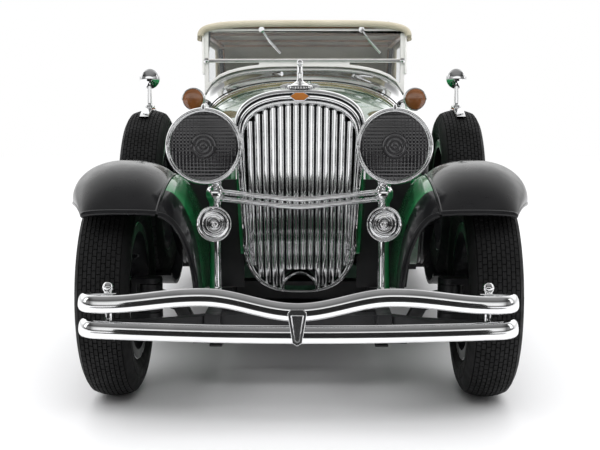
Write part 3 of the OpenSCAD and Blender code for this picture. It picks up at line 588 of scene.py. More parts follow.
green = paint("paint_green", (0.006, 0.14, 0.04), (0.009, 0.19, 0.055), 0.15)
black = paint("paint_black", (0.003, 0.003, 0.0035), (0.005, 0.005, 0.006), coat=0.55)
chrome = chrome_plate("chrome_bright", (0.9, 0.905, 0.91), 0.03, 0.09)
chrome_wheel = chrome_plate("chrome_wheel", (0.8, 0.805, 0.81), 0.08, 0.18, 4)
gold = chrome_plate("pinstripe_gold", (0.75, 0.62, 0.4), 0.12, 0.25)
rubber = dull("tyre_rubber", (0.006, 0.006, 0.006), (0.012, 0.012, 0.0125), 0.55, 0.78, 0.5, 0.05,
              shine=0.15)
mat_rubber = dull("board_rubber", (0.012, 0.012, 0.012), (0.022, 0.022, 0.022), 0.6, 0.8, 0.4, 0.05)
satin_black = dull("satin_black", (0.008, 0.008, 0.009), (0.018, 0.018, 0.019), 0.3, 0.5, 0.8, 0.03)
plastic = dull("cabin_plastic", (0.03, 0.03, 0.031), (0.05, 0.05, 0.051), 0.4, 0.6, 0.4, 0.03)
carpet = dull("cabin_carpet", (0.03, 0.026, 0.022), (0.065, 0.058, 0.05), 0.85, 0.98, 0.3, 0.15,
              size=3)
steel = dull("brushed_steel", (0.42, 0.42, 0.43), (0.55, 0.55, 0.56), 0.25, 0.4, 0.3, 0.02, 1.0)
iron = dull("exhaust_iron", (0.09, 0.07, 0.055), (0.17, 0.14, 0.115), 0.5, 0.75, 0.6, 0.06, 0.7)
engine_green = dull("engine_paint", (0.02, 0.07, 0.04), (0.035, 0.11, 0.06), 0.3, 0.5, 1.2, 0.05)
canvas = canvas_cloth("canvas_top", (0.52, 0.475, 0.36), (0.64, 0.59, 0.47))
binding = canvas_cloth("canvas_binding", (0.4, 0.36, 0.27), (0.48, 0.44, 0.34))
leather = leather_hide("seat_leather", (0.17, 0.15, 0.13), (0.27, 0.245, 0.215))
wood = timber("bow_wood", (0.16, 0.075, 0.03), (0.34, 0.18, 0.08))
# White paint on the windscreen frame and posts is a painted reflection: it stands in for the white
# room mirrored in the chrome frame.
screen_painted_reflection = paint("screen_frame_painted_reflection", (0.86, 0.85, 0.82), (0.93, 0.92, 0.9))
screen_clear = glass("screen_glass", (0.93, 0.95, 0.96), 0.96, 0.005)
# The headlamp lens is coloured near black: painted shade standing in for the dark surroundings
# mirrored in the reflector behind a clear lens.
lamp_glass = lens("headlamp_lens", (0.008, 0.008, 0.009), (0.02, 0.019, 0.021))
amber = lens("amber_lens", (0.17, 0.06, 0.018), (0.3, 0.11, 0.035))
red = lens("red_lens", (0.22, 0.006, 0.004), (0.4, 0.015, 0.01))
enamel = lens("badge_enamel", (0.36, 0.11, 0.015), (0.52, 0.19, 0.03))
core = core_mesh("radiator_core_mesh")


# ---------- Camera, floor and light ----------
FOCAL_PX, FRAME_W, FRAME_H = 1080.0, 600.0, 450.0
EYE = np.array([3.0, bumper_y - 192, 60.0])
HORIZON_ROW, STRAIGHT_COLUMN = 115.3, 314.0
ROOM_BRIGHT, SKY_BRIGHT = 2.0, 2.25


def make_camera():
    data = bpy.data.cameras.new("camera")
    data.sensor_width, data.lens = 36.0, 36.0 * FOCAL_PX / FRAME_W
    data.clip_start, data.clip_end = 0.01, 20
    camera = placed("camera", data)
    camera.location = Vector(EYE) * MM
    yaw = atan((STRAIGHT_COLUMN - FRAME_W / 2) / FOCAL_PX)
    pitch = atan((FRAME_H / 2 - HORIZON_ROW) / FOCAL_PX)
    camera.rotation_euler = (pi / 2 - pitch, 0, yaw)
    bpy.context.scene.camera = camera


def softbox(name, where, toward, size, strength, mirrored=True):
    """Area light of size (width, height) in metres; strength is its brightness."""
    data = bpy.data.lights.new(name, "AREA")
    data.shape, data.size, data.size_y = "RECTANGLE", *size
    data.energy = strength * pi * size[0] * size[1]
    light = placed(name, data)
    light.location = where
    light.rotation_euler = (Vector(toward) - Vector(where)).to_track_quat("-Z", "Y").to_euler()
    light.visible_camera = False
    light.visible_glossy = mirrored


def make_floor():
    """Pale floor that fades into the white background far from the car."""
    mesh = bpy.data.meshes.new("floor")
    rings, sides = np.linspace(0, 4, 12) ** 1.5, 96
    points = [(r * cos(a), r * sin(a), 0) for r in rings[1:] for a in circle(sides)]
    faces = [tuple(range(sides))]
    for r in range(len(rings) - 2):
        for s in range(sides):
            a, b = r * sides + s, r * sides + (s + 1) % sides
            faces.append((a, a + sides, b + sides, b))
    mesh.from_pydata(points, [], faces)
    floor = placed("floor", mesh)
    floor.location = (0, 0, min(0.0, cad_low[2]) - 0.0001)
    look = Look("floor_paper", Roughness=0.5, Specular_IOR_Level=0.3)
    look.colours(look.noise(400), (0.3, (0.8, 0.8, 0.81)), (0.7, (0.84, 0.84, 0.85)))
    far = look.node("VectorMath", {0: look.place}, operation="LENGTH").outputs["Value"]
    glow = look.node("Emission", {"Color": (1, 1, 1, 1), "Strength": 1.0}).outputs[0]
    mix = look.mixed(look.spread(far, 0.35, 1.3), look.shader.outputs[0], glow)
    look.links.new(mix, look.nodes["Material Output"].inputs["Surface"])
    mesh.materials.append(look.material)


def make_world():
    """White to the camera. In reflections a white room, brightest behind the car."""
    world = bpy.data.worlds.new("studio")
    bpy.context.scene.world = world
    tree = Tree(world)
    axes = tree.node("SeparateXYZ", {0: tree.node("TexCoord").outputs["Generated"]}).outputs

    def greys(source, *stops):
        """Brightness along stops of (position from -1 to 1, value)."""
        return tree.ramp(source, *(((place + 1) / 2, (value,) * 3) for place, value in stops))

    def shader(colour, strength=1.0):
        return tree.node("Background", {"Color": colour, "Strength": strength}).outputs[0]

    height = tree.spread(axes["Z"], -1, 1)
    ahead = greys(height, (-1, 0.1), (-0.05, 0.1), (0.03, 0.06), (0.09, 0.6), (0.28, 0.5),
                  (0.42, 0.06), (1, 0.15))
    behind = greys(height, (-1, 0.2), (-0.05, 0.4), (0.0, 0.5), (0.1, 0.4), (0.4, 0.8),
                   (0.82, 0.42), (1, 0.12))
    aside = tree.node("Math", {0: axes["X"]}, operation="ABSOLUTE").outputs[0]
    dim = greys(tree.spread(aside, -1, 1), (0, 1), (0.5, 1), (0.8, 0.16), (1, 0.25))
    narrow = tree.node("VectorMath", {0: ahead, 1: dim}, operation="MULTIPLY").outputs[0]
    blend = tree.node("Mix", data_type="RGBA")
    for socket, source in (("Factor", tree.spread(axes["Y"], 0.0, 0.4)), (6, narrow), (7, behind)):
        tree.links.new(source, blend.inputs[socket])
    room = shader(blend.outputs[2], ROOM_BRIGHT)
    sky = shader(greys(height, (-1, 0.05), (0, 0.06), (0.35, 0.25), (1, 1)), SKY_BRIGHT)
    ray = tree.node("LightPath").outputs
    light = tree.mixed(ray["Is Glossy Ray"], sky, room)
    light = tree.mixed(ray["Is Camera Ray"], light, shader((1, 1, 1, 1)))
    tree.links.new(light, tree.nodes["World Output"].inputs["Surface"])


def make_card():
    """Dark card round the lens and on the table, seen only as the dark line in the chrome."""
    mesh = bpy.data.meshes.new("lens_card")
    near, far, half, top = (bumper_y - 80) * MM, EYE[1] * MM - 0.02, 0.17, 0.072
    edges = ((near, 0.0005), (far, 0.0005), (far, top))
    mesh.from_pydata([(x, y, z) for y, z in edges for x in (-half, half)], [],
                     [(0, 1, 3, 2), (2, 3, 5, 4)])
    card = placed("lens_card", mesh)
    look = Look("card_black", Roughness=0.9)
    look.colours(look.noise(40), (0.3, (0.004, 0.004, 0.004)), (0.7, (0.007, 0.007, 0.007)))
    mesh.materials.append(look.material)
    card.visible_shadow = card.visible_diffuse = card.visible_camera = False


def make_lights():
    softbox("front_fill", (0.1, -0.9, 0.8), (0, -0.05, 0.06), (0.7, 0.4), 4.0, mirrored=False)
    for name, x in (("left_strip", 0.8), ("right_strip", -0.8)):
        softbox(name, (x, -0.2, 0.35), (0, -0.05, 0.05), (0.2, 0.5), 1.5)


make_camera()
make_floor()
make_world()
make_card()
make_lights()
bpy.context.scene.view_settings.view_transform = "Standard"


# ---------- Body ----------
def stations(low, high, step, *exact):
    inner = np.arange(low, high, step)
    exact = [np.ravel(e) for e in exact]
    return np.unique(np.round(np.concatenate([inner, [low, high], *exact]), 4))


def section(table, y):
    """Half width, crown height, squareness and belt height of a section."""
    b = smooth(table, y, 3)
    return smooth(table, y, 1), b, smooth(table, y, 4), smooth(table, y, 2) - b


def side_x(a, z0, z):
    return a * (1 - 0.08 * ((z0 - z) / (z0 - sill_z)) ** 2)


def body_x(y, z):
    """Half width of the body's skin at a station and a height."""
    a, b, n, z0 = section(BODY, y)
    return side_x(a, z0, z) if z < z0 else a * max(0.0, 1 - ((z - z0) / b) ** n) ** (1 / n)


def body_z(x, y):
    """Height of the body's skin."""
    a, b, n, z0 = section(BODY, y)
    return z0 + b * max(0.0, 1 - (abs(x) / a) ** n) ** (1 / n)


def body_row(y, inset):
    """Section of the body from sill to sill over the crown."""
    a, b, n, z0 = section(BODY, y)
    a -= inset
    side = [(side_x(a, z0, z), y, z) for z in np.linspace(sill_z, z0, 14)[:-1]]
    crown = [oval(a, b - inset, n, t) for t in np.linspace(0, 180, 73)]
    return side + [(x, y, z0 + z) for x, z in crown] + [(-x, y, z) for x, y, z in side[::-1]]


def reach_angle(a, n, x):
    """Angle at which a superellipse of half width a comes in to x, in degrees."""
    return degrees(acos(min(1.0, (x / a) ** (n / 2))))


# Belt line: station Y, height
BEAD = np.array([[-22, 56.6], [-5, 57.6], [20, 57.8], [47, 57.8], [62, 57.2], [84, 52],
                 [102, 44.2], [118, 34], [129, 27]])
STRIPE_DROPS, STRIPE_R = (1.5, 2.1), 0.1
HINGE_HEIGHTS = ((38.4, 41.6), (52.4, 55.6))


def belt_line(ys, drop=0.0, out=0.02):
    """Points along the belt line, or drop mm under it."""
    heights = [smooth(BEAD, y, 1) - drop for y in ys]
    return [(body_x(y, z) + out, y, z) for y, z in zip(ys, heights)]


def bead(y0, y1):
    """Half-round moulding along the belt line."""
    return Shape().tube(belt_line(stations(y0, y1, 2.5), out=0.12), 0.5, 8)


def make_body():
    ys = stations(BODY[0, 0], BODY[-1, 0], 2.0, BODY[:, 0])
    shell = mesh_object("body_panels", Shape().walled(body_row, ys, wall))
    door_cut = door_low_z - shut_gap
    for x0, x1, (y0, y1), z0 in ((-cabin_half, cabin_half, cabin_y, 60), (20, 40, door_y, door_cut),
                                 (-40, -20, door_y, door_cut), (-lid_half, lid_half, lid_y, 45)):
        carve(shell, Shape().block((x0, y0, z0), (x1, y1, 80)))
    carve(shell, Shape().lathe([(0, -40), (2.1, -40), (2.1, 40), (0, 40)], 24)
          .moved(along_x(0, rear_y, wheel_z)))
    finished(shell, green, "body_shell", angle=40)
    tail_y = BODY[-1, 0]
    rim = np.array(body_row(tail_y, 0.15))
    middle = rim.mean(0) + (0, 0, 2)
    rows = []
    for f in np.linspace(0, 1, 12):
        row = lerp(rim, middle, f)
        row[:, 1] = tail_y - 0.6 + 1.8 * sin(f * pi / 2) ** 0.8
        rows.append(row)
    panel = Shape().grid(rows, across=True)
    panel.tube(np.array(body_row(tail_y - 0.2, 0.3)), 0.45, 8)
    piece("tail_panel", panel, green)
    hinges = Shape()
    hinge = at(*door_hinge, 0)
    for low, high in HINGE_HEIGHTS:
        for z0, z1 in ((low - 1.7, low - 0.2), (high + 0.2, high + 1.7)):
            hinges.join(turning(hinge, 20, 0.2, (0, z0), (0.85, z0), (0.85, z1), (0, z1)))
            hinges.block((31.6, door_hinge[1] - 2.8, z0), (34.3, door_hinge[1] - 0.3, z1))
        rod = [(0, low - 2), (0.4, low - 2), (0.4, high + 2), (0, high + 2)]
        hinges.join(Shape().lathe(rod, 12).moved(hinge))
    piece("door_hinge_posts", hinges.paired(), green)
    pin = Shape().tube([(-13.8, *lid_hinge), (13.8, *lid_hinge)], 0.4, 12)
    for x in (-13.6, -6.4, 6.4, 13.6):
        pin.tube([(x - 1.2, *lid_hinge), (x + 1.2, *lid_hinge)], 0.85, 18)
        pin.block((x - 1.2, lid_hinge[0], 52.4), (x + 1.2, lid_hinge[0] + 2.2, lid_hinge[1]))
    piece("lid_hinge_posts", pin, chrome)
    beads = bead(-21.6, door_y[0] - 0.3).join(bead(door_y[1] + 0.3, 128.5)).paired()
    piece("belt_moulding", beads, green)
    stripes = Shape()
    for drop in STRIPE_DROPS:
        for y0, y1 in ((-21.6, door_y[0] - 0.3), (door_y[1] + 0.3, 127)):
            stripes.tube(belt_line(stations(y0, y1, 3.0), drop), STRIPE_R, 6)
    piece("belt_stripes", stripes.paired(), gold)
    rim_line = [(x, cabin_y[1] + 0.4, body_z(x, cabin_y[1]) + 0.1)
                for x in np.linspace(-30.6, 30.6, 41)]
    piece("cabin_rear_piping", Shape().tube(rim_line, 0.55, 8), leather)


def door_row(y, inset):
    """Section of a door from its lower edge over the shoulder."""
    a, b, n, z0 = section(BODY, y)
    end = reach_angle(a - inset, n, door_inner)
    side = [(side_x(a - inset, z0, z), y, z) for z in np.linspace(door_low_z, z0, 18)[:-1]]
    return side + [(x, y, z0 + z) for x, z in
                   (oval(a - inset, b - inset, n, t) for t in np.linspace(0, end, 14))]


def make_door(side):
    body, thick = "door_" + side, wall * 1.6
    ys = stations(door_y[0] + shut_gap, door_y[1] - shut_gap, 2.6)
    shape = Shape().walled(door_row, ys, thick)
    shape.join(bead(ys[0] + 0.1, ys[-1] - 0.1))
    for low, high in HINGE_HEIGHTS:
        shape.join(turning(at(*door_hinge, 0), 20, 0.2,
                           (0, low), (0.85, low), (0.85, high), (0, high)))
        shape.block((32.2, door_hinge[1] + 0.3, low), (34.2, door_hinge[1] + 2.8, high))
    piece(body + "_skin", on_side(side, shape), green, body, body=body, angle=40)
    stripes = Shape()
    for drop in STRIPE_DROPS:
        stripes.tube(belt_line(ys, drop), STRIPE_R, 6)
    piece(body + "_stripes", on_side(side, stripes), gold, body=body)
    x0, z0 = body_x(door_y[1] - 6, 55), 55
    lever = path((x0 - 0.1, 41, z0), (x0 + 1.1, 40.8, z0), (x0 + 1.4, 39.2, z0),
                 (x0 + 1.3, 35.5, z0 - 0.1), (x0 + 0.9, 34.2, z0 - 0.2), steps=5)
    taper = np.interp(range(len(lever)), [0, 5, len(lever) - 1], [0.5, 0.45, 0.32])
    handle = Shape().tube(lever, taper, 12)
    handle.join(turning(along_x(x0 - 0.05, 41, z0), 24, 0.15,
                        (0, 0), (1.0, 0), (0.8, 0.35), (0, 0.45)))
    piece(body + "_handle", on_side(side, handle), chrome, body=body)
    ys = stations(door_y[0] + 3, door_y[1] - 3, 2.2)
    trim_low, trim_high = door_low_z + 2.5, 58

    def trim_row(y, inset):
        row = []
        for z in np.linspace(trim_low, trim_high, 20):
            edge = min(y - ys[0], ys[-1] - y, z - trim_low, trim_high - z)
            pleat = 0.22 * abs(sin(pi * y / 4.4)) * min(1, max(0, edge) / 2)
            row.append((body_x(y, z) - thick - inset - pleat, y, z))
        return row

    trim = Shape().walled(trim_row, ys, 0.05, start=0.4)
    piece(body + "_trim", on_side(side, trim), leather, body=body)


def make_lid():
    def row(y, inset):
        a, b, n, z0 = section(BODY, y)
        end = reach_angle(a - inset, n, lid_half - shut_gap)
        return [(x, y, z0 + z) for x, z in
                (oval(a - inset, b - inset, n, t) for t in np.linspace(end, 180 - end, 41))]

    ys = stations(lid_y[0] + shut_gap, lid_y[1] - shut_gap, 2.0)
    shape = Shape().walled(row, ys, wall)
    for x in (-10, 10):
        shape.tube([(x - 2, *lid_hinge), (x + 2, *lid_hinge)], 0.85, 18)
        shape.block((x - 2, lid_hinge[0] - 2.4, 54), (x + 2, lid_hinge[0] - 0.3, 55))
    piece("rumble_lid_skin", shape, green, "rumble_lid", body="rumble_lid", angle=40)
    y, z = lid_y[0] + 3.2, body_z(0, lid_y[0] + 3.2)
    grip = path(*((x, y, z + rise) for x, rise in
                  ((-3.4, -0.1), (-3, 0.9), (0, 1.2), (3, 0.9), (3.4, -0.1))), steps=5)
    piece("rumble_lid_handle", Shape().tube(grip, 0.4, 10), chrome, body="rumble_lid")
    frames = Shape()
    for inset in (2.2, 2.9):
        x1, y0, y1 = lid_half - inset, lid_y[0] + inset, lid_y[1] - inset
        line = ([(x, y0) for x in np.linspace(-x1, x1, 21)]
                + [(x1, y) for y in np.linspace(y0, y1, 15)[1:]]
                + [(x, y1) for x in np.linspace(x1, -x1, 21)[1:]]
                + [(-x1, y) for y in np.linspace(y1, y0, 15)[1:-1]])
        frames.tube([(x, y, body_z(x, y) + 0.01) for x, y in line], 0.1, 6, closed=True)
    piece("rumble_lid_stripes", frames, gold, body="rumble_lid")


# ---------- Bonnet ----------
hood_low_z, hood_wall, hood_pin_x = 30.0, 0.9, 1.5


def hood_surface(y, t, inset=0.0):
    a, b, n, z0 = section(HOOD, y)
    x, z = oval(a - inset, b - inset, n, t)
    return x, y, z0 + z


def hood_side_x(y, z, inset=0.0):
    """Half width of the bonnet's side, which leans in under its top panel."""
    a, _, _, z0 = section(HOOD, y)
    z1 = z0 - shut_gap
    return (a - inset) * (1 - 0.07 * ((z1 - z) / (z1 - hood_low_z)) ** 2)


def make_hood():
    def top_row(y, inset):
        _, b, _, z0 = section(HOOD, y)
        last = (hood_pin_x + 0.2, y, z0 + b - inset)
        return [hood_surface(y, t, inset) for t in np.linspace(1, 82, 44)] + [last]

    def side_row(y, inset):
        z1 = section(HOOD, y)[3] - shut_gap
        return [(hood_side_x(y, z, inset), y, z) for z in np.linspace(hood_low_z, z1, 24)]

    ys = stations(*HOOD_Y, 4.0)
    for side in ("left", "right"):
        body = "hood_top_" + side
        shape = Shape().walled(top_row, ys, hood_wall)
        pin = [np.array([hood_pin_x, y, smooth(HOOD, y, 2) + 0.1]) for y in HOOD_Y]
        for f0, f1 in ((0.03, 0.3), (0.37, 0.63), (0.7, 0.97)):
            shape.tube([lerp(*pin, f0), lerp(*pin, f1)], 0.85, 20)
        piece(body + "_skin", on_side(side, shape), green, body, body=body, angle=40)
        stripes = Shape()
        for y in (-25.4, -27.0):
            stripes.tube([hood_surface(y, t, -0.03) for t in np.linspace(2, 83, 50)], 0.16, 6)
        piece(body + "_stripes", on_side(side, stripes), gold, body=body)
    sides = Shape().walled(side_row, ys, hood_wall)
    piece("hood_side_panels", sides.paired(), green, "hood_sides")
    louvres = Shape()
    count, pitch, width = 27, 2.85, 2.1
    blade = ((0, 0), (0.3, 0.3), (0.65, 0.62), (0.92, 0.72), (1.0, 0.6), (1.0, -0.05))
    for i in range(count):
        rows = []
        for v in np.linspace(0, 1, 13):
            swell = (1 - abs(2 * v - 1) ** 4) ** 0.5
            row = []
            for f, rise in blade:
                y = -106.5 + pitch * i + width * f
                z0 = section(HOOD, y)[3]
                z = lerp(z0 - 15.5, z0 - 2.6, v)
                row.append((hood_side_x(y, z) - 0.05 + rise * swell, y, z))
            rows.append(row)
        louvres.grid(rows, across=True)
    piece("hood_louvres", louvres.paired(), green, angle=50)
    rail = Shape()
    for y0, y1 in ((HOOD_Y[0], -103), (-103, -60), (-60, HOOD_Y[1])):
        rail.tube([(smooth(HOOD, y, 1) + 0.05, y, section(HOOD, y)[3] - 1.0)
                   for y in stations(y0, y1, 6)], 0.35, 8)
    piece("hood_side_moulding", rail.paired(), chrome)
    latches = Shape()
    for y in (-96, -38):
        a, b, n, z0 = section(HOOD, y)
        lever = path((a * 0.985, y, z0 - 18), (a * 0.985 + 1.2, y, z0 - 18.4),
                     (a * 0.98 + 1.4, y, z0 - 20.5), (a * 0.975 + 1.0, y, z0 - 23), steps=4)
        latches.tube(lever, 0.35, 10)
        latches.join(turning(along_x(a * 0.98, y, z0 - 18), 20, 0.1,
                             (0, 0), (0.9, 0), (0.7, 0.4), (0, 0.5)))
    piece("hood_latches", latches.paired(), chrome)
    for name, look, y, r in (("cowl_stripe_gold", gold, -21.2, 0.17),
                             ("cowl_stripe_dark", black, -19.6, 0.2)):
        piece(name, Shape().tube(body_row(y, -0.1)[13:-13], r, 6), look, slot="chrome")
    band_y = np.linspace(-21.9, -12.9, 16)
    rows, under = [[body_row(y, inset)[11:-11] for y in band_y] for inset in (-0.1, 0.3)]
    piece("cowl_polished_band", Shape().skin(rows, under), chrome)


# ---------- Fenders ----------
FENDER_R, FENDER_STEPS, LAST_ANGLE = 29.5, 21, 144


def fender_key(s):
    """Fender path at s from 0 (front tip) to 21 (foot): y, z, normal, half width, centre, drop."""
    if s < 7:
        f = s / 7
        t, g = radians(lerp(44, 90, f)), sin(f * pi / 2)
        return (front_y - FENDER_R * cos(t), 21 + FENDER_R * sin(t), -cos(t),
                sin(t), lerp(8.2, 11.6, g), lerp(34.4, 36.5, g), lerp(1.4, 9, g))
    f = (s - 7) / 14
    y = lerp(front_y, fender_end_y, f)
    z = 19 + 15.75 * (1 + cos(pi * (y - front_y) / 79))
    return y, z, 0, 1, lerp(11.6, 9, f), lerp(36.5, 40, f), max(1.5, 9 - 9.9 * f)


def fender_point(k, u, inset):
    """Point of a fender's section at angle u, from 0 at its outer lip to 144 at the apron."""
    c, s = oval(1, 1, 2.3, u)
    drop = k[6] * (1 - s) + inset * s
    return k[5] + (k[4] - inset) * c, k[0] - k[2] * drop, k[1] - k[3] * drop


def make_front_fenders():
    keys = [fender_key(s) for s in np.linspace(0, FENDER_STEPS, 106)]
    turns = np.linspace(0, LAST_ANGLE, 49)
    skin = Shape().walled(lambda k, inset: [fender_point(k, u, inset) for u in turns], keys, 1.0)
    well = Shape().lathe([(0, -7.2), (24.2, -7.2), (24.2, 7.2), (0, 7.2)], 128)
    well = well.moved(along_x(*spare))
    edge = Shape().tube([fender_point(k, 0, 0.45) for k in keys], 0.6, 10)
    edge.tube([fender_point(keys[0], u, 0.4) for u in np.linspace(0, LAST_ANGLE, 40)], 0.6, 10)
    for side in ("left", "right"):
        node = "fender_front_" + side
        obj = carve(mesh_object(node + "_wing", on_side(side, skin)), on_side(side, well))
        finished(obj, black, node, angle=40)
        piece(node + "_edge", on_side(side, edge), black)

    def apron_row(k, inset):
        x0 = 19.5
        e = fender_point(k, LAST_ANGLE, 0)
        low = min(sill_z, e[2] - 1.5)
        dx, dz = e[0] - x0, e[2] - low
        row = []
        for v in np.linspace(0, 0.97, 20) * pi / 2:
            c, s = cos(v), sin(v)
            m = hypot(dx * s, dz * c) + 0.001
            row.append((x0 + dx * (1 - c) + inset * dz * c / m + 0.1, e[1],
                        low + dz * s - inset * dx * s / m))
        return row

    nose, rest = keys[:14], keys[13:]
    aprons = Shape().walled(apron_row, rest, 0.8)
    piece("fender_aprons", aprons.paired(), green, "inner_aprons")
    valance = Shape().walled(apron_row, nose, 0.8)
    valance.tube(apron_row(keys[0], 0.4), 0.6, 10)
    piece("fender_valances", valance.paired(), black)
    seam = Shape().tube([fender_point(k, LAST_ANGLE, 0.1) for k in keys], 0.4, 8)
    piece("fender_apron_welts", seam.paired(), black)


def rear_fender_row(p, inset):
    """Section of a rear fender at p degrees round the wheel, from its lip to the body."""
    late = float(np.clip((p - 110) / 55, 0, 1))
    reach, c, s = 27.5 + 5 * late ** 2, cos(radians(p)), sin(radians(p))
    r, lip, x_out = reach - inset, 9 * float(np.clip((p + 20) / 50, 0, 1)) - 5 * late, 49 - 3 * late
    y, z = rear_y - r * c, wheel_z + r * s
    x_in = min(34.8, smooth(BODY, rear_y - reach * c, 1) + 0.4) - 0.5
    row = []
    for u in np.linspace(0, 90, 26):
        a, b = oval(1, 1, 2.3, u)
        d = lip * (1 - b)
        row.append((x_out - 11 + (11 - inset) * a, y + d * c, z - d * s))
    return row + [(x, y, z) for x in np.linspace(x_out - 11, x_in, 6)[1:]]


def make_rear_fenders():
    turns = np.linspace(-5, 165, 90)
    skin = Shape().walled(rear_fender_row, turns, 1)
    skin.tube([rear_fender_row(p, 0.45)[0] for p in turns], 0.6, 10)
    skin.tube(rear_fender_row(turns[-1], 0.45)[:-3], 0.6, 10)
    piece("rear_wings", skin.paired(), black, "rear_fenders", angle=45)
    inner = [rear_fender_row(p, 0)[-1] for p in turns[8:]]
    welt = Shape().tube([(x + 0.4, y, z) for x, y, z in inner], 0.4, 8)
    piece("rear_wing_welts", welt.paired(), black)


def make_splash_shields():
    top = span("headlamp_bracket")[0][2]
    outline = [(12.4, top), (23.5, top), (25.5, 38), (24, 46), (12.4, 46)]
    panel = Shape().slab(outline, 0.6).moved(facing(0, -109.5, 0))
    piece("splash_shields", panel.paired(), satin_black, bevel=0.1)


def make_boards():
    refined("running_boards", mat_rubber, 0.12)
    low, high = span("running_boards")
    trim = Shape()
    for z in (17.4, 18.6):
        trim.tube([(high[0] + 0.05, low[1] + 0.5, z), (high[0] + 0.05, high[1] - 0.5, z)], 0.32, 8)
    piece("board_trims", trim.paired(), chrome)
    kept("spare_wells", black)


# ---------- Radiator ----------
def radiator_outline(crown, z0, waist, zw, base):
    """Arched top of half axes crown at z0, over a pointed foot at zw."""
    top = [oval(*crown, 2.5, t) for t in np.linspace(0, 180, 61)]
    foot = [oval(waist, base, 2.7, t) for t in np.linspace(180, 360, 61)]
    return [(x, z0 + z) for x, z in top] + [(x, zw + z) for x, z in foot]


def make_radiator():
    outer = np.array(radiator_outline((13.8, 8.2), 57.3, 12.3, 36, 13.4))
    inner = np.array(radiator_outline((11.7, 7.2), 55, 10.4, 33.5, 10.4))
    # How far out from the inner outline, and how far back
    profile = [(0, 6), (0, 1.2), (0.05, 0.5), (0.12, 0.2), (0.2, 0.1), (0.25, 0.2), (0.28, 0.7),
               (0.34, 0.7), (0.37, 0.2), (0.42, 0.03), (0.5, 0), (0.58, 0.05), (0.61, 0.25),
               (0.63, 0.8), (0.7, 0.8), (0.72, 0.25), (0.76, 0.08), (0.84, 0.1), (0.92, 0.35),
               (0.97, 0.75), (1, 1.3), (1, 6)]

    def rim_point(i, o, f, depth):
        return lerp(i[0], o[0], f), shell_front + depth, lerp(i[1], o[1], f)

    rows = [[rim_point(i, o, *step) for step in profile] for i, o in zip(inner, outer)]
    shell = Shape().grid(rows, across=True, along=True)
    arch = [[(r * cos(a), shell_front + d, 23.1 + r * sin(a)) for r, d in
             ((3.3, 6), (3.3, 0.6), (3.45, 0.3), (3.75, 0.3), (3.9, 0.6), (3.9, 6))]
            for a in np.linspace(-0.15, pi + 0.15, 36)]
    shell.grid(arch, across=True)
    piece("radiator_surround", shell, chrome, "radiator_shell", angle=50)
    grooves = Shape()
    for groove in ((0.31, 0.62), (0.665, 0.7)):
        line = [rim_point(i, o, *groove) for i, o in zip(inner, outer)]
        grooves.tube(line[2:59], 0.13, 8)
    piece("radiator_grooves", grooves, black, slot="radiator_black")
    slats = Shape()
    for i in range(7):
        x1, x0 = (i + 0.5) * 1.64, (i + 0.5) * 1.5
        high = 55 + 7.2 * (1 - (x1 / 11.7) ** 2.5) ** 0.4 - 0.1
        low = 27.4 if x0 < 3.6 else 33.5 - 10.4 * (1 - (x0 / 10.4) ** 2.7) ** (1 / 2.7) + 0.1
        rows = []
        for f in np.linspace(0, 1, 28):
            x, z = lerp(x0, x1, f), lerp(low, high, f)
            back = hypot(0.085 * (z - 42), 0.2) - 0.2 if z > 42 else 0.05 * (42 - z)
            rows.append([(x + 0.68 * cos(a), -119.4 + back + 0.8 * sin(a), z)
                         for a in circle(24)])
        slats.grid(rows, across=True)
    piece("radiator_slats", slats.paired(), chrome, "radiator_grille")
    ties = Shape()
    for z, half in ((34.5, 9.9), (45, 10.5), (56, 11)):
        ties.block((-half, -118.6, z - 0.3), (half, -118.1, z + 0.3))
    piece("radiator_ties", ties, satin_black, slot="radiator_black")
    kept("radiator_core", core)
    cap_y, cap_z = -117.4, 65.5
    ornament = turning(at(0, cap_y, cap_z), 48, 0.2, (0, 0), (2.9, 0), (3.05, 0.3), (2.8, 0.75),
                       (1.9, 0.9), (1.5, 1.2), (0.8, 1.6), (0.55, 2.1), (0.45, 3.2), (0.5, 4.2),
                       (0.62, 4.8), (0.45, 5.2), (0, 5.3))
    ornament.join(ball(0.68, 24, at(0, -117.6, 71.0)))
    for side in (-1, 1):
        wing = path((side * 1.0, cap_y, 66.0), (side * 2.8, -117.5, 66.15),
                    (side * 4.1, cap_y, 66.0), steps=6)
        ornament.tube(wing, np.linspace(0.62, 0.25, len(wing)), 12)
        veil = path((side * 0.25, cap_y, 70.6), (side * 0.42, -117.0, 69.0),
                    (side * 0.35, -116.8, 67.2), steps=6)
        ornament.tube(veil, 0.2, 8)
    for a in circle(32):
        x, y = 3.0 * cos(a), 3.0 * sin(a) - 117.4
        ornament.tube([(x, y, 65.6), (x, y, 66.05)], 0.12, 6)
    piece("radiator_ornament", ornament, chrome, "radiator_cap")
    lozenge = [(-1.9, 0), (-0.85, 0.75), (0.85, 0.75), (1.9, 0), (0.85, -0.75), (-0.85, -0.75)]
    badge = Shape().slab(lozenge, 0.5).moved(facing(0, shell_front, 63.9))
    piece("radiator_lozenge", badge, enamel, "radiator_badge", bevel=0.12)
    border = [(x * 1.06, shell_front - 0.25, 63.9 + z * 1.1) for x, z in lozenge]
    rim = Shape().tube(border, 0.14, 8, closed=True)
    piece("radiator_lozenge_rim", rim, chrome)


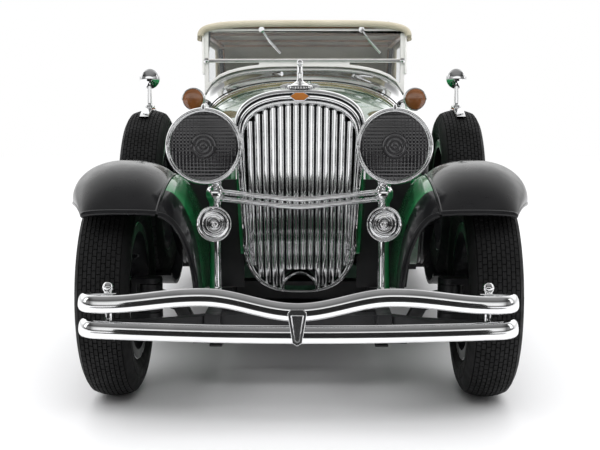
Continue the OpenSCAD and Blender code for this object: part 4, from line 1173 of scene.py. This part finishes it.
# ---------- Lamps and horns ----------
def make_headlamps():
    place, glass_r = facing(*lamp), 6.82
    shape = turning(place, 96, 0.8, (0, -10), (2, -9.6), (4.4, -8), (6, -5.6), (6.9, -2.6),
                    (6.95, -0.4), (6.6, -0.4), (6.3, -2.6), (5.3, -5.3), (3.8, -7.5), (1.8, -8.9),
                    (0, -9.3))
    piece("headlamp_shells", shape.paired(), chrome, "headlamp_buckets", angle=50)
    ring = rounded([(6.95, -0.3), (7.45, -1.1), (7.75, -0.9), (lamp_r, 0), (7.6, 0.55),
                    (7.35, 0.62), (7.2, 0.3), (7.05, 0.55), (6.9, 0.45), (6.95, -0.3)], 0.12)
    clip = path((0, 7.5, -0.5), (0, 8.1, -0.1), (0, 7.9, 0.5), (0, 7.3, 0.7), steps=5)
    shape = Shape().lathe(ring, 128).tube(clip, 0.42, 10)
    piece("headlamp_bezels", shape.moved(place).paired(), chrome, "headlamp_rims", angle=45)
    eye_r, rib_pitch, rows = 2.5, 0.72, []
    for r in np.linspace(0, glass_r, 72):
        row = []
        for a in circle(240):
            x, y = r * cos(a), r * sin(a)
            z = 0.95 - 0.6 * (r / glass_r) ** 2
            if r > eye_r:
                edge = min(1.0, (glass_r - r) / 0.4, (r - eye_r) / 0.2)
                upright, level = (abs(sin(pi * v / rib_pitch)) for v in (x, y))
                z += edge * (0.14 * upright + 0.035 * level - 0.08)
            else:
                z += 0.25 + 0.1 * cos(2 * pi * r / 0.85)
            row.append((x, y, z))
        rows.append(row)
    dome = Shape().grid(rows, across=True)
    dome.lathe([(glass_r, 0.35), (6.75, -0.15), (0, -0.15)], 240)
    piece("headlamp_glasses", dome.moved(place).paired(), lamp_glass, "headlamp_lenses", angle=70)
    post = (17.5, -123.4)
    low = span("headlamp_bracket")[0][2]
    shape = turning(at(*post, 0), 40, 0.5, (0, low), (2.1, low), (2.1, low + 1), (1.3, low + 1.9),
                    (1.15, 30), (1.1, 38), (1.25, 42), (1.9, 43), (1.95, 44.4), (1.3, 45.4),
                    (1.5, 46.4), (2.5, 47.1), (2.6, 47.3), (0, 47.3)).paired()
    for dz in (-0.75, 0.75):
        half = path((0, -127.2, 42.2 + dz), (4, -127.0, 42.45 + dz), (10, -125.6, 42.95 + dz),
                    (post[0], post[1] - 0.4, 43.6 + dz), steps=8)
        line = np.concatenate([half[:0:-1] * (-1, 1, 1), half])
        shape.tube(line, 0.55, 16)
    piece("lamp_bar", shape, chrome, "headlamp_bracket", angle=45)


def make_horns():
    shape = turning(facing(17.2, -131, 38.2), 72, 0.2, (0, -0.4), (0.5, -0.15), (0.95, -0.4),
                    (1.25, -1.1), (1.7, -0.75), (2.15, -1.15), (2.6, -0.7), (3.1, -0.1),
                    (3.45, 0.1), (3.62, -0.1), (3.55, -0.7), (3, -2.2), (2, -4), (1.5, -5.6),
                    (1.35, -6.2), (0, -6.2))
    piece("horn_trumpets", shape.paired(), chrome, "horns", angle=60)


def make_small_lamps():
    place = facing(33.3, -21, 64.8)
    shape = turning(place, 56, 0.4, (0, -8), (1.6, -7.6), (3, -5), (3.4, -1), (3.5, 0.05),
                    (3.15, 0.3), (3.0, 0.05), (0, 0.05))
    shape.tube(path((29.2, -17, 63.9), (30.2, -17, 64.3), (31.6, -17, 64.5), steps=4), 0.7, 14)
    piece("cowl_lamp_shells", shape.paired(), chrome, "cowl_lamps", angle=50)
    dome = [(3.05 * sin(a), 0.05 + 0.75 * cos(a) ** 0.8)
            for a in np.linspace(0, pi / 2, 14)]
    shape = Shape().lathe([*dome, (0, 0.02)], 48).moved(place)
    piece("cowl_lamp_lenses", shape.paired(), amber, angle=60)
    place = facing_back(31, 110, 41)
    shape = turning(place, 48, 0.3, (0, 0), (1.5, 0.1), (2.3, 0.9), (2.4, 3.2), (2.4, 3.5),
                    (2.05, 3.6), (2.05, 3.3), (0, 3.3))
    shape.tube([(26.3, 111, 41), (29.2, 111, 41)], 0.8, 16)
    piece("tail_lamp_shells", shape.paired(), chrome, "tail_lamps", angle=50)
    shape = turning(place, 48, 0.2, (2.0, 3.3), (1.95, 3.6), (1.6, 3.85), (1.2, 3.8), (0.8, 3.98),
                    (0.4, 3.92), (0, 4.0))
    piece("tail_lamp_lenses", shape.paired(), red, angle=60)


# ---------- Bumpers ----------
BAR_HALF, BAR_BOW, BAR_CURL, LOWER_BAR_Z = 37.7, 4.0, 3.9, 20.2


def upper_bar_z(x):
    u = min(abs(x), BAR_HALF)
    if u < 17:
        return 24.3 + 1.3 * (1 - cos(pi * u / 17))
    return 26.9 - 0.95 * (1 - cos(pi * (u - 17) / (BAR_HALF - 17)))


def bar_profile():
    """Section of a bar, as how far it stands forward at each height."""
    front = [(0.95 * (1 - abs(y / 1.67) ** 2.5) ** 0.5 - 0.12 * y - 0.1, y)
             for y in np.linspace(1.65, -1.65, 29)]
    return front + [(-0.6, -1.15), (-0.6, 1.15)]


def bumper_bar(y0, height):
    """Bowed bar with curled ends, whose front is at y0 in the middle and at height(x)."""
    slope = atan(2 * BAR_BOW / BAR_HALF)
    cx, cy = BAR_HALF - BAR_CURL * sin(slope), y0 + BAR_BOW + BAR_CURL * cos(slope)
    half = [(x, y0 + BAR_BOW * (x / BAR_HALF) ** 2, atan(2 * BAR_BOW * x / BAR_HALF ** 2))
            for x in np.linspace(0, BAR_HALF, 46)]
    half += [(cx + BAR_CURL * sin(t), cy - BAR_CURL * cos(t), t)
             for t in np.linspace(slope, radians(116), 18)[1:]]
    line = [(-x, y, -t) for x, y, t in half[:0:-1]] + half
    ends = len(line) - 1
    rows = []
    for k, (x, y, t) in enumerate(line):
        last = min(k, ends - k)
        shrink = (0.72, 0.9, 0.98)[last] if last < 3 else 1.0
        rows.append([(x + shrink * p * sin(t), y - shrink * p * cos(t),
                      height(x) + shrink * q) for p, q in bar_profile()])
    return Shape().grid(rows, across=True).ends(rows[0], rows[-1])


def make_bumpers():
    for level, height in (("upper", upper_bar_z), ("lower", lambda x: LOWER_BAR_Z)):
        piece("bumper_bar_" + level, bumper_bar(bumper_y + 1.95, height), chrome,
              "front_bumper_" + level, angle=50)
    refined("front_bumper_clamp", chrome, 0.2)
    shield = [(0, 19.2), (0.42, 19.5), (1.05, 23.95), (-1.05, 23.95), (-0.42, 19.5)]
    piece("bumper_clamp_shield", Shape().slab(shield, 0.3).moved(facing(0, bumper_y + 0.9, 0)),
          black, slot="chrome", bevel=0.05)
    irons = refined("bumper_irons", chrome, 0.2)
    irons.data.materials.append(satin_black)
    for face in irons.data.polygons:
        face.material_index = int(face.center.z < 22.5 * MM)
    rear = Shape()
    for level in (24.4, LOWER_BAR_Z):
        rear.join(bumper_bar(bumper_y + 1.05, lambda x, level=level: level))
    for x in (-12, 12):
        rear.tube([(x, bumper_y + 2.9, 19), (x, bumper_y + 2.9, 25.6)], 0.5, 10)
    over = Matrix.Scale(-1, 4, Vector((0, 1, 0)))
    piece("rear_bumper_bars", rear.moved(over), chrome, "rear_bumper", angle=50)


# ---------- Windscreen ----------
def make_windscreen():
    # The frame and posts get white paint, a painted reflection standing in for the white room seen
    # in chrome.
    refined("windshield_frame", screen_painted_reflection, 0.22)
    posts = Shape()
    for x0, x1 in ((30.4, 31.3), (-31.3, -30.4)):
        posts.block((x0, screen_y - 0.6, 72.4), (x1, screen_y + 1.2, 84.6))
    piece("windshield_posts", posts, screen_painted_reflection, bevel=0.35)
    kept("windshield_glass", screen_clear)
    refined("wipers", chrome, 0.0)
    blades = Shape()
    y = screen_y - 0.55
    for x in (-13, 17.4):
        blades.tube([(x + 2.4, y + 0.25, 82.8), (x + 5.6, y + 0.25, 79.2)], 0.3, 6)
    piece("wiper_blades", blades, rubber, slot="chrome")
    beads = Shape().tube([(x, screen_y - 0.1, 76.6) for x in (-29.6, 29.6)], 0.35, 10)
    for x in (-30, 30):
        beads.join(turning(facing(x, screen_y, 76.6), 24, 0.25,
                           (0, 0), (0.9, 0), (0.9, 0.5), (0.5, 0.9), (0, 1)))
    piece("windshield_bead", beads, chrome)


# ---------- Cloth top ----------
BOWS = (-11.4, 18, 43, 52)


def top_edge(y):
    """Lower edge of the cloth: over the doors, then down to the deck behind them."""
    front, back = smooth(TOP[:5], min(y, 46), 3), smooth(TOP[5:], max(y, 50), 3)
    f = float(np.clip((y - 45.5) / 5, 0, 1))
    return lerp(front, back, f * f * (3 - 2 * f))


def top_point(y, t, inset=0.0):
    """Point of the cloth at angle t, from 0 at one edge to 180 at the other."""
    a, z1, z0 = smooth(TOP, y, 1) - inset, roof_z + smooth(TOP, y, 2) - inset, top_edge(y)
    b = z1 - z0
    n = 4 + min(1.0, max(0.0, (b - 6) / 6))
    x, z = oval(a, b, n, t)
    flat = sin(radians(t)) ** 2
    for y0, y1 in zip(BOWS, BOWS[1:]):
        if y0 <= y <= y1:
            z -= 0.42 * flat * sin(pi * (y - y0) / (y1 - y0)) ** 1.2
    if y > 48:
        fold = min(1, (y - 48) / 8) * abs(cos(radians(t))) ** 0.5
        x -= copysign(0.16 * fold * (1 + sin(0.55 * z + 0.35 * y)), x)
    return x, y, z0 + z


def make_top():
    ys = stations(TOP[0, 0], TOP[-1, 0], 1.25, 46, 48, 50)
    turns = np.linspace(0, 180, 121)
    skin = Shape().walled(lambda y, inset: [top_point(y, t, inset) for t in turns], ys, 1.2)
    cloth = carve(mesh_object("cloth_top", skin), Shape().block((-11, 50, 70.4), (11, 80, 77)))
    finished(cloth, canvas, "soft_top", angle=55)
    edges = Shape()
    for s in (1, -1):
        edges.tube([(s * top_point(y, 0, 0.5)[0], y, top_edge(y) + 0.1) for y in ys], 0.62, 8)
    edges.tube([top_point(TOP[-1, 0], t, 0.5) for t in np.linspace(4, 176, 80)], 0.62, 8)
    piece("cloth_top_binding", edges, binding)
    header = [np.array(top_point(TOP[0, 0], t, 1.0)) - (0, 0.3, 0) for t in np.linspace(3, 177, 90)]
    piece("cloth_top_header", Shape().tube(header, 1.05, 14), canvas)
    welts = Shape()
    for t in (52, 128):
        welts.tube([top_point(y, t) for y in ys[1:-3]], 0.26, 8)
    for y in BOWS[1:]:
        welts.tube([top_point(y, t) for t in np.linspace(52, 128, 50)], 0.2, 8)
    piece("cloth_top_seams", welts, binding)
    slope = Matrix.Rotation(atan(6 / 9), 4, "X")
    half_w, half_h, r = 11.0, 3.9, 1.0
    corners = [(half_w - r, half_h - r, 0), (r - half_w, half_h - r, 90),
               (r - half_w, r - half_h, 180), (half_w - r, r - half_h, 270)]
    ring = [(cx + r * cos(a), -0.35, cz + r * sin(a))
            for cx, cz, a0 in corners for a in (radians(a0 + a) for a in (0, 30, 60, 90))]
    bezel = Shape().tube(ring, 0.5, 10, closed=True).moved(at(0, 67.9, 73.75) @ slope)
    piece("rear_window_bezel", bezel, chrome)
    kept("rear_window", screen_clear)
    studs = Shape()
    for y in np.linspace(52, 70, 6):
        place = along_x(top_point(y, 0)[0] - 0.15, y, top_edge(y) + 1.7)
        studs.join(turning(place, 16, 0.15, (0, 0), (0.55, 0), (0.5, 0.3), (0, 0.42)))
    piece("cloth_top_studs", studs.paired(), chrome)
    refined("top_bows", wood, 0.12)
    irons = Shape()
    for line in (((47, 66.5), (44.5, 70), (30, 82.6)), ((52, 67), (47.5, 75), (40, 83))):
        irons.tube(path(*((29.9, *point) for point in line), steps=6), 0.4, 10)
    piece("cloth_top_irons", irons.paired(), satin_black, slot="chrome")


# ---------- Cabin ----------
def bench(name, x_half, low, high, pleat=3.6):
    """Pleated cushion: a rounded block along X whose channels run up its top and front."""
    (y0, z0), (y1, z1) = low, high
    cy, cz, ry, rz = (y0 + y1) / 2, (z0 + z1) / 2, (y1 - y0) / 2, (z1 - z0) / 2
    turns = [oval(1, 1, 4.5, a) for a in np.linspace(0, 360, 48, endpoint=False)]
    rows = []
    for x in np.linspace(-x_half, x_half, 121):
        end = max(0.0, 1 - abs(x / x_half) ** 14) ** (1 / 6)
        groove = 0.42 * (1 - abs(sin(pi * (x + x_half) / pleat)) ** 0.6) * end
        shape, taper = 0.86 + 0.14 * end, 0.05 + 0.95 * end
        rows.append([(x, cy + c * (ry * shape - groove) * taper,
                      cz + s * (rz * shape - groove) * taper) for c, s in turns])
    pad = Shape().grid(rows, across=True).ends(rows[0], rows[-1])
    obj = piece(name, pad, leather, angle=80)
    welt = Shape()
    for x in (-x_half + 1.1, x_half - 1.1):
        welt.tube([(x, cy + 0.97 * ry * c, cz + 0.97 * rz * s) for c, s in turns], 0.3, 8,
                  closed=True)
    piece(name + "_piping", welt, leather)
    return obj


def make_cabin():
    main = bench("seat_cushion", 27.3, (20.2, 24.2), (42.8, 37.6))
    bench("seat_backrest", 27.3, (43.5, 34.2), (50.6, 61.6))
    bench("rumble_cushion", 14.8, (76.2, 34.1), (91.8, 40.8), pleat=3.2)
    bench("rumble_backrest", 14.8, (92.5, 33.2), (97.8, 49.6), pleat=3.2)
    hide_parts("seats")
    refined("floor_pan", carpet)
    refined("dashboard", plastic)
    kept("steering_wheel", plastic)
    dash_y = cabin_y[0] + 3.05
    rings, faces, needles = Shape(), Shape(), Shape()
    for x in (-12, -6, 0, 9, 15):
        place = facing_back(x, dash_y, 58)
        rings.join(turning(place, 36, 0.1, (1.9, 0), (2.3, 0.1), (2.3, 0.6), (2.05, 0.8),
                           (1.85, 0.55), (1.9, 0)))
        faces.join(Shape().lathe([(0, 0.35), (1.9, 0.35), (1.9, 0.2), (0, 0.2)], 36).moved(place))
        needles.tube([(x, dash_y + 0.45, 57.6), (x + 0.8, dash_y + 0.45, 59)], 0.1, 6)
    piece("gauge_rings", rings, chrome)
    piece("gauge_faces", faces, enamel, slot="cabin_plastic")
    piece("gauge_needles", needles, satin_black, slot="cabin_plastic")
    levers = Shape().tube(path((0, 2, 23.4), (0, 4, 32), (0.4, 7, 41), steps=6), 0.4, 10)
    levers.join(ball(1.0, 20, at(0.4, 7.2, 41.6)))
    for x in (6, 10.5, 14):
        levers.tube(path((x, -16.5, 33), (x, -13, 30), (x, -11, 28.4), steps=4), 0.3, 8)
        levers.block((x - 1, -11.4, 27.2), (x + 1, -10.8, 29.8))
    piece("cabin_levers", levers, satin_black, slot="cabin_plastic")


# ---------- Wheels ----------
def tyre_shape():
    """Tyre round X with grooved tread blocks and ringed sidewalls."""
    half, bead_r = tyre_w / 2, 13.75
    side = [(bead_r, 3.8), (14.3, 3.95), (14.9, 3.9), (15.2, 4.5), (15.8, half - 0.55),
            (16.4, half - 0.2), (16.5, half - 0.36), (16.7, half - 0.12), (17.6, half - 0.02),
            (18.6, half - 0.05), (18.75, half - 0.25), (18.95, half - 0.1), (19.8, half - 0.25),
            (20.7, half - 0.7), (21.4, half - 1.2)]
    ribs, land, depth = 9, 8.2, 0.35
    tread = []
    for k in range(ribs):
        x0, x1 = (lerp(land / 2, -land / 2, edge / ribs) for edge in (k, k + 1))
        for x, cut in ((x0 - 0.03, depth), (x0 - 0.1, 0), (x1 + 0.1, 0), (x1 + 0.03, depth)):
            tread.append((tyre_r - 0.02 - 0.055 * x * x - cut, x, 0 if cut else 1 + k % 2))
    profile = ([(r, x, 0) for r, x in side] + tread + [(r, -x, 0) for r, x in side[::-1]])
    pitches, sipe = 96, 0.2
    rows = []
    for k in range(pitches):
        for f, dip in ((0, 0), (0.42, 0), (0.5, 1), (0.58, 0)):
            row = []
            for r, x, kind in profile:
                shift = 0.5 if kind == 2 else 0.0
                a = 2 * pi * (k + f + shift) / pitches
                cut = sipe * dip if kind else 0.0
                row.append((x, (r - cut) * sin(a), (r - cut) * cos(a)))
            rows.append(row)
    return Shape().grid(rows, along=True, across=True)


def wheel_shape():
    """Wire wheel round X: channel rim, laced spokes, hub and a plain domed cap on +X."""
    well, cap_out = 13.7, 5.0
    rim = rounded([(well - 1, -4.6), (14.6, -4.6), (14.75, -4.3), (14.6, -3.95), (well, -3.95),
                   (well, 3.95), (14.6, 3.95), (14.75, 4.3), (14.6, 4.6), (well - 0.6, 4.6),
                   (well - 0.9, 3.6), (well - 1, 1.5), (well - 1.3, 0), (well - 1, -1.5),
                   (well - 1, -4.6)], 0.25)
    # The channel rim takes the second look, black paint: painted shade standing in for the shadow on
    # a chrome rim.
    shape = Shape().lathe(rim, 120, look=1)
    for x in (-4.3, 4.3):
        ring = [(14.62 * cos(a), 14.62 * sin(a), x) for a in circle(96)]
        shape.tube(ring, 0.28, 8, closed=True)
    hub = rounded([(0, -2.9), (2.5, -2.9), (2.75, -2.6), (2.75, -1.8), (2.2, -1.4), (2.1, 1.6),
                   (2.6, 2.0), (2.8, 2.6), (2.8, 3.1), (3.0, 3.3), (3.0, 3.7), (2.3, 4.1),
                   (1.9, cap_out - 0.35), (1.2, cap_out), (0, cap_out)], 0.2)
    shape = shape.lathe(hub, 48).moved(along_x(0, 0, 0))
    spokes, r_hub = 20, 2.5
    laces = ((2.3, 1.0, 16), (2.1, -0.6, -16), (-2.2, -1.2, 22), (-2.4, 0.4, -22))
    for x_hub, x_rim, lean in laces:
        for i in range(spokes):
            a = 2 * pi * (i + (0.25 if lean > 0 else 0.75)) / spokes
            b = a + radians(lean)
            p = (x_hub, r_hub * sin(a), r_hub * cos(a))
            q = (x_rim, (well - 0.9) * sin(b), (well - 0.9) * cos(b))
            shape.tube([p, q], 0.17, 5)
    return shape


def make_wheels():
    tyre, wheel = tyre_shape(), wheel_shape()

    def fit(names, body, place, nodes):
        """A tyre and its wheel, named and standing in for nodes in that order."""
        piece(names[0], place(tyre), rubber, nodes[0], body=body, angle=45)
        # The second look, black paint on the rim channel, is painted shade on a chrome wheel.
        piece(names[1], place(wheel), [chrome_wheel, black], nodes[1], body=body)

    for side in ("left", "right"):
        body = "wheel_front_" + side
        fit((body + "_tyre", body + "_wire"), body,
            lambda shape: on_side(side, shape.moved(at(*front_hub))),
            ("tyre_front_" + side, "rim_front_" + side))
    for name, body, point in (("rear", "rear_axle", (wheel_x, rear_y, wheel_z)),
                              ("spare", "root", spare)):
        fit((name + "_tyre_pair", name + "_wire_pair"), body,
            lambda shape: shape.moved(at(*point)).paired(), (name + "_tyres", name + "_rims"))
    strap_r = tyre_r + 0.5
    strap = ((-1.2, -0.25), (-1.1, 0.15), (1.1, 0.15), (1.2, -0.25))
    rows = [[(spare[0] + x, spare[1] + (strap_r + d) * sin(a),
              spare[2] + (strap_r + d) * cos(a)) for x, d in strap]
            for a in np.radians(np.linspace(-26, 26, 40))]
    shape = Shape().grid(rows, across=True)
    stem_z = spare[2] + strap_r
    shape.join(turning(at(spare[0], spare[1], 0), 24, 0.3, (0, stem_z), (1.4, stem_z),
                       (1.3, stem_z + 0.6), (0.6, stem_z + 1.1), (0.45, 68.8), (0, 68.8)))
    shape.join(turning(facing_back(spare[0], spare[1], 69.6), 48, 0.3, (0, -1.1), (0.9, -1.0),
                       (2.1, -0.4), (2.65, 0.35), (2.7, 0.62), (2.45, 0.66), (2.4, 0.5), (0, 0.5)))
    piece("side_mirrors", shape.paired(), chrome, "spare_mirrors", angle=45)


# ---------- Running gear ----------
def make_gear():
    for node in ("chassis_frame", "front_axle_beam", "leaf_springs", "knuckle_left",
                 "knuckle_right"):
        refined(node, satin_black)
    for node in ("tie_rod", "rear_axle_rod"):
        kept(node, satin_black)
    refined("engine", engine_green, 0.35)
    kept("exhaust_system", iron)
    kept("chassis_screws", steel)
    kept("hood_hinge_strip", chrome)
    leads, plugs = Shape(), Shape()
    for i in range(8):
        y = -97 + 6.4 * i
        plugs.join(turning(at(1.6, y, 50), 14, 0.1, (0, 0), (0.7, 0), (0.6, 0.8), (0.35, 1),
                           (0.3, 2.2), (0, 2.3)))
        lead = path((1.6, y, 52.1), (3.2, y + 0.6, 53), (4.2, y + 1.5, 51), (4.3, -74, 50.3),
                    steps=6)
        leads.tube(lead, 0.22, 6)
    piece("engine_plugs", plugs, steel)
    piece("engine_leads", leads, satin_black, slot="engine_paint")


make_body()
for door_side in ("left", "right"):
    make_door(door_side)
for make in (make_lid, make_hood, make_front_fenders, make_rear_fenders, make_boards,
             make_splash_shields, make_radiator, make_headlamps, make_horns, make_small_lamps,
             make_bumpers, make_windscreen, make_top, make_cabin, make_wheels, make_gear):
    make()
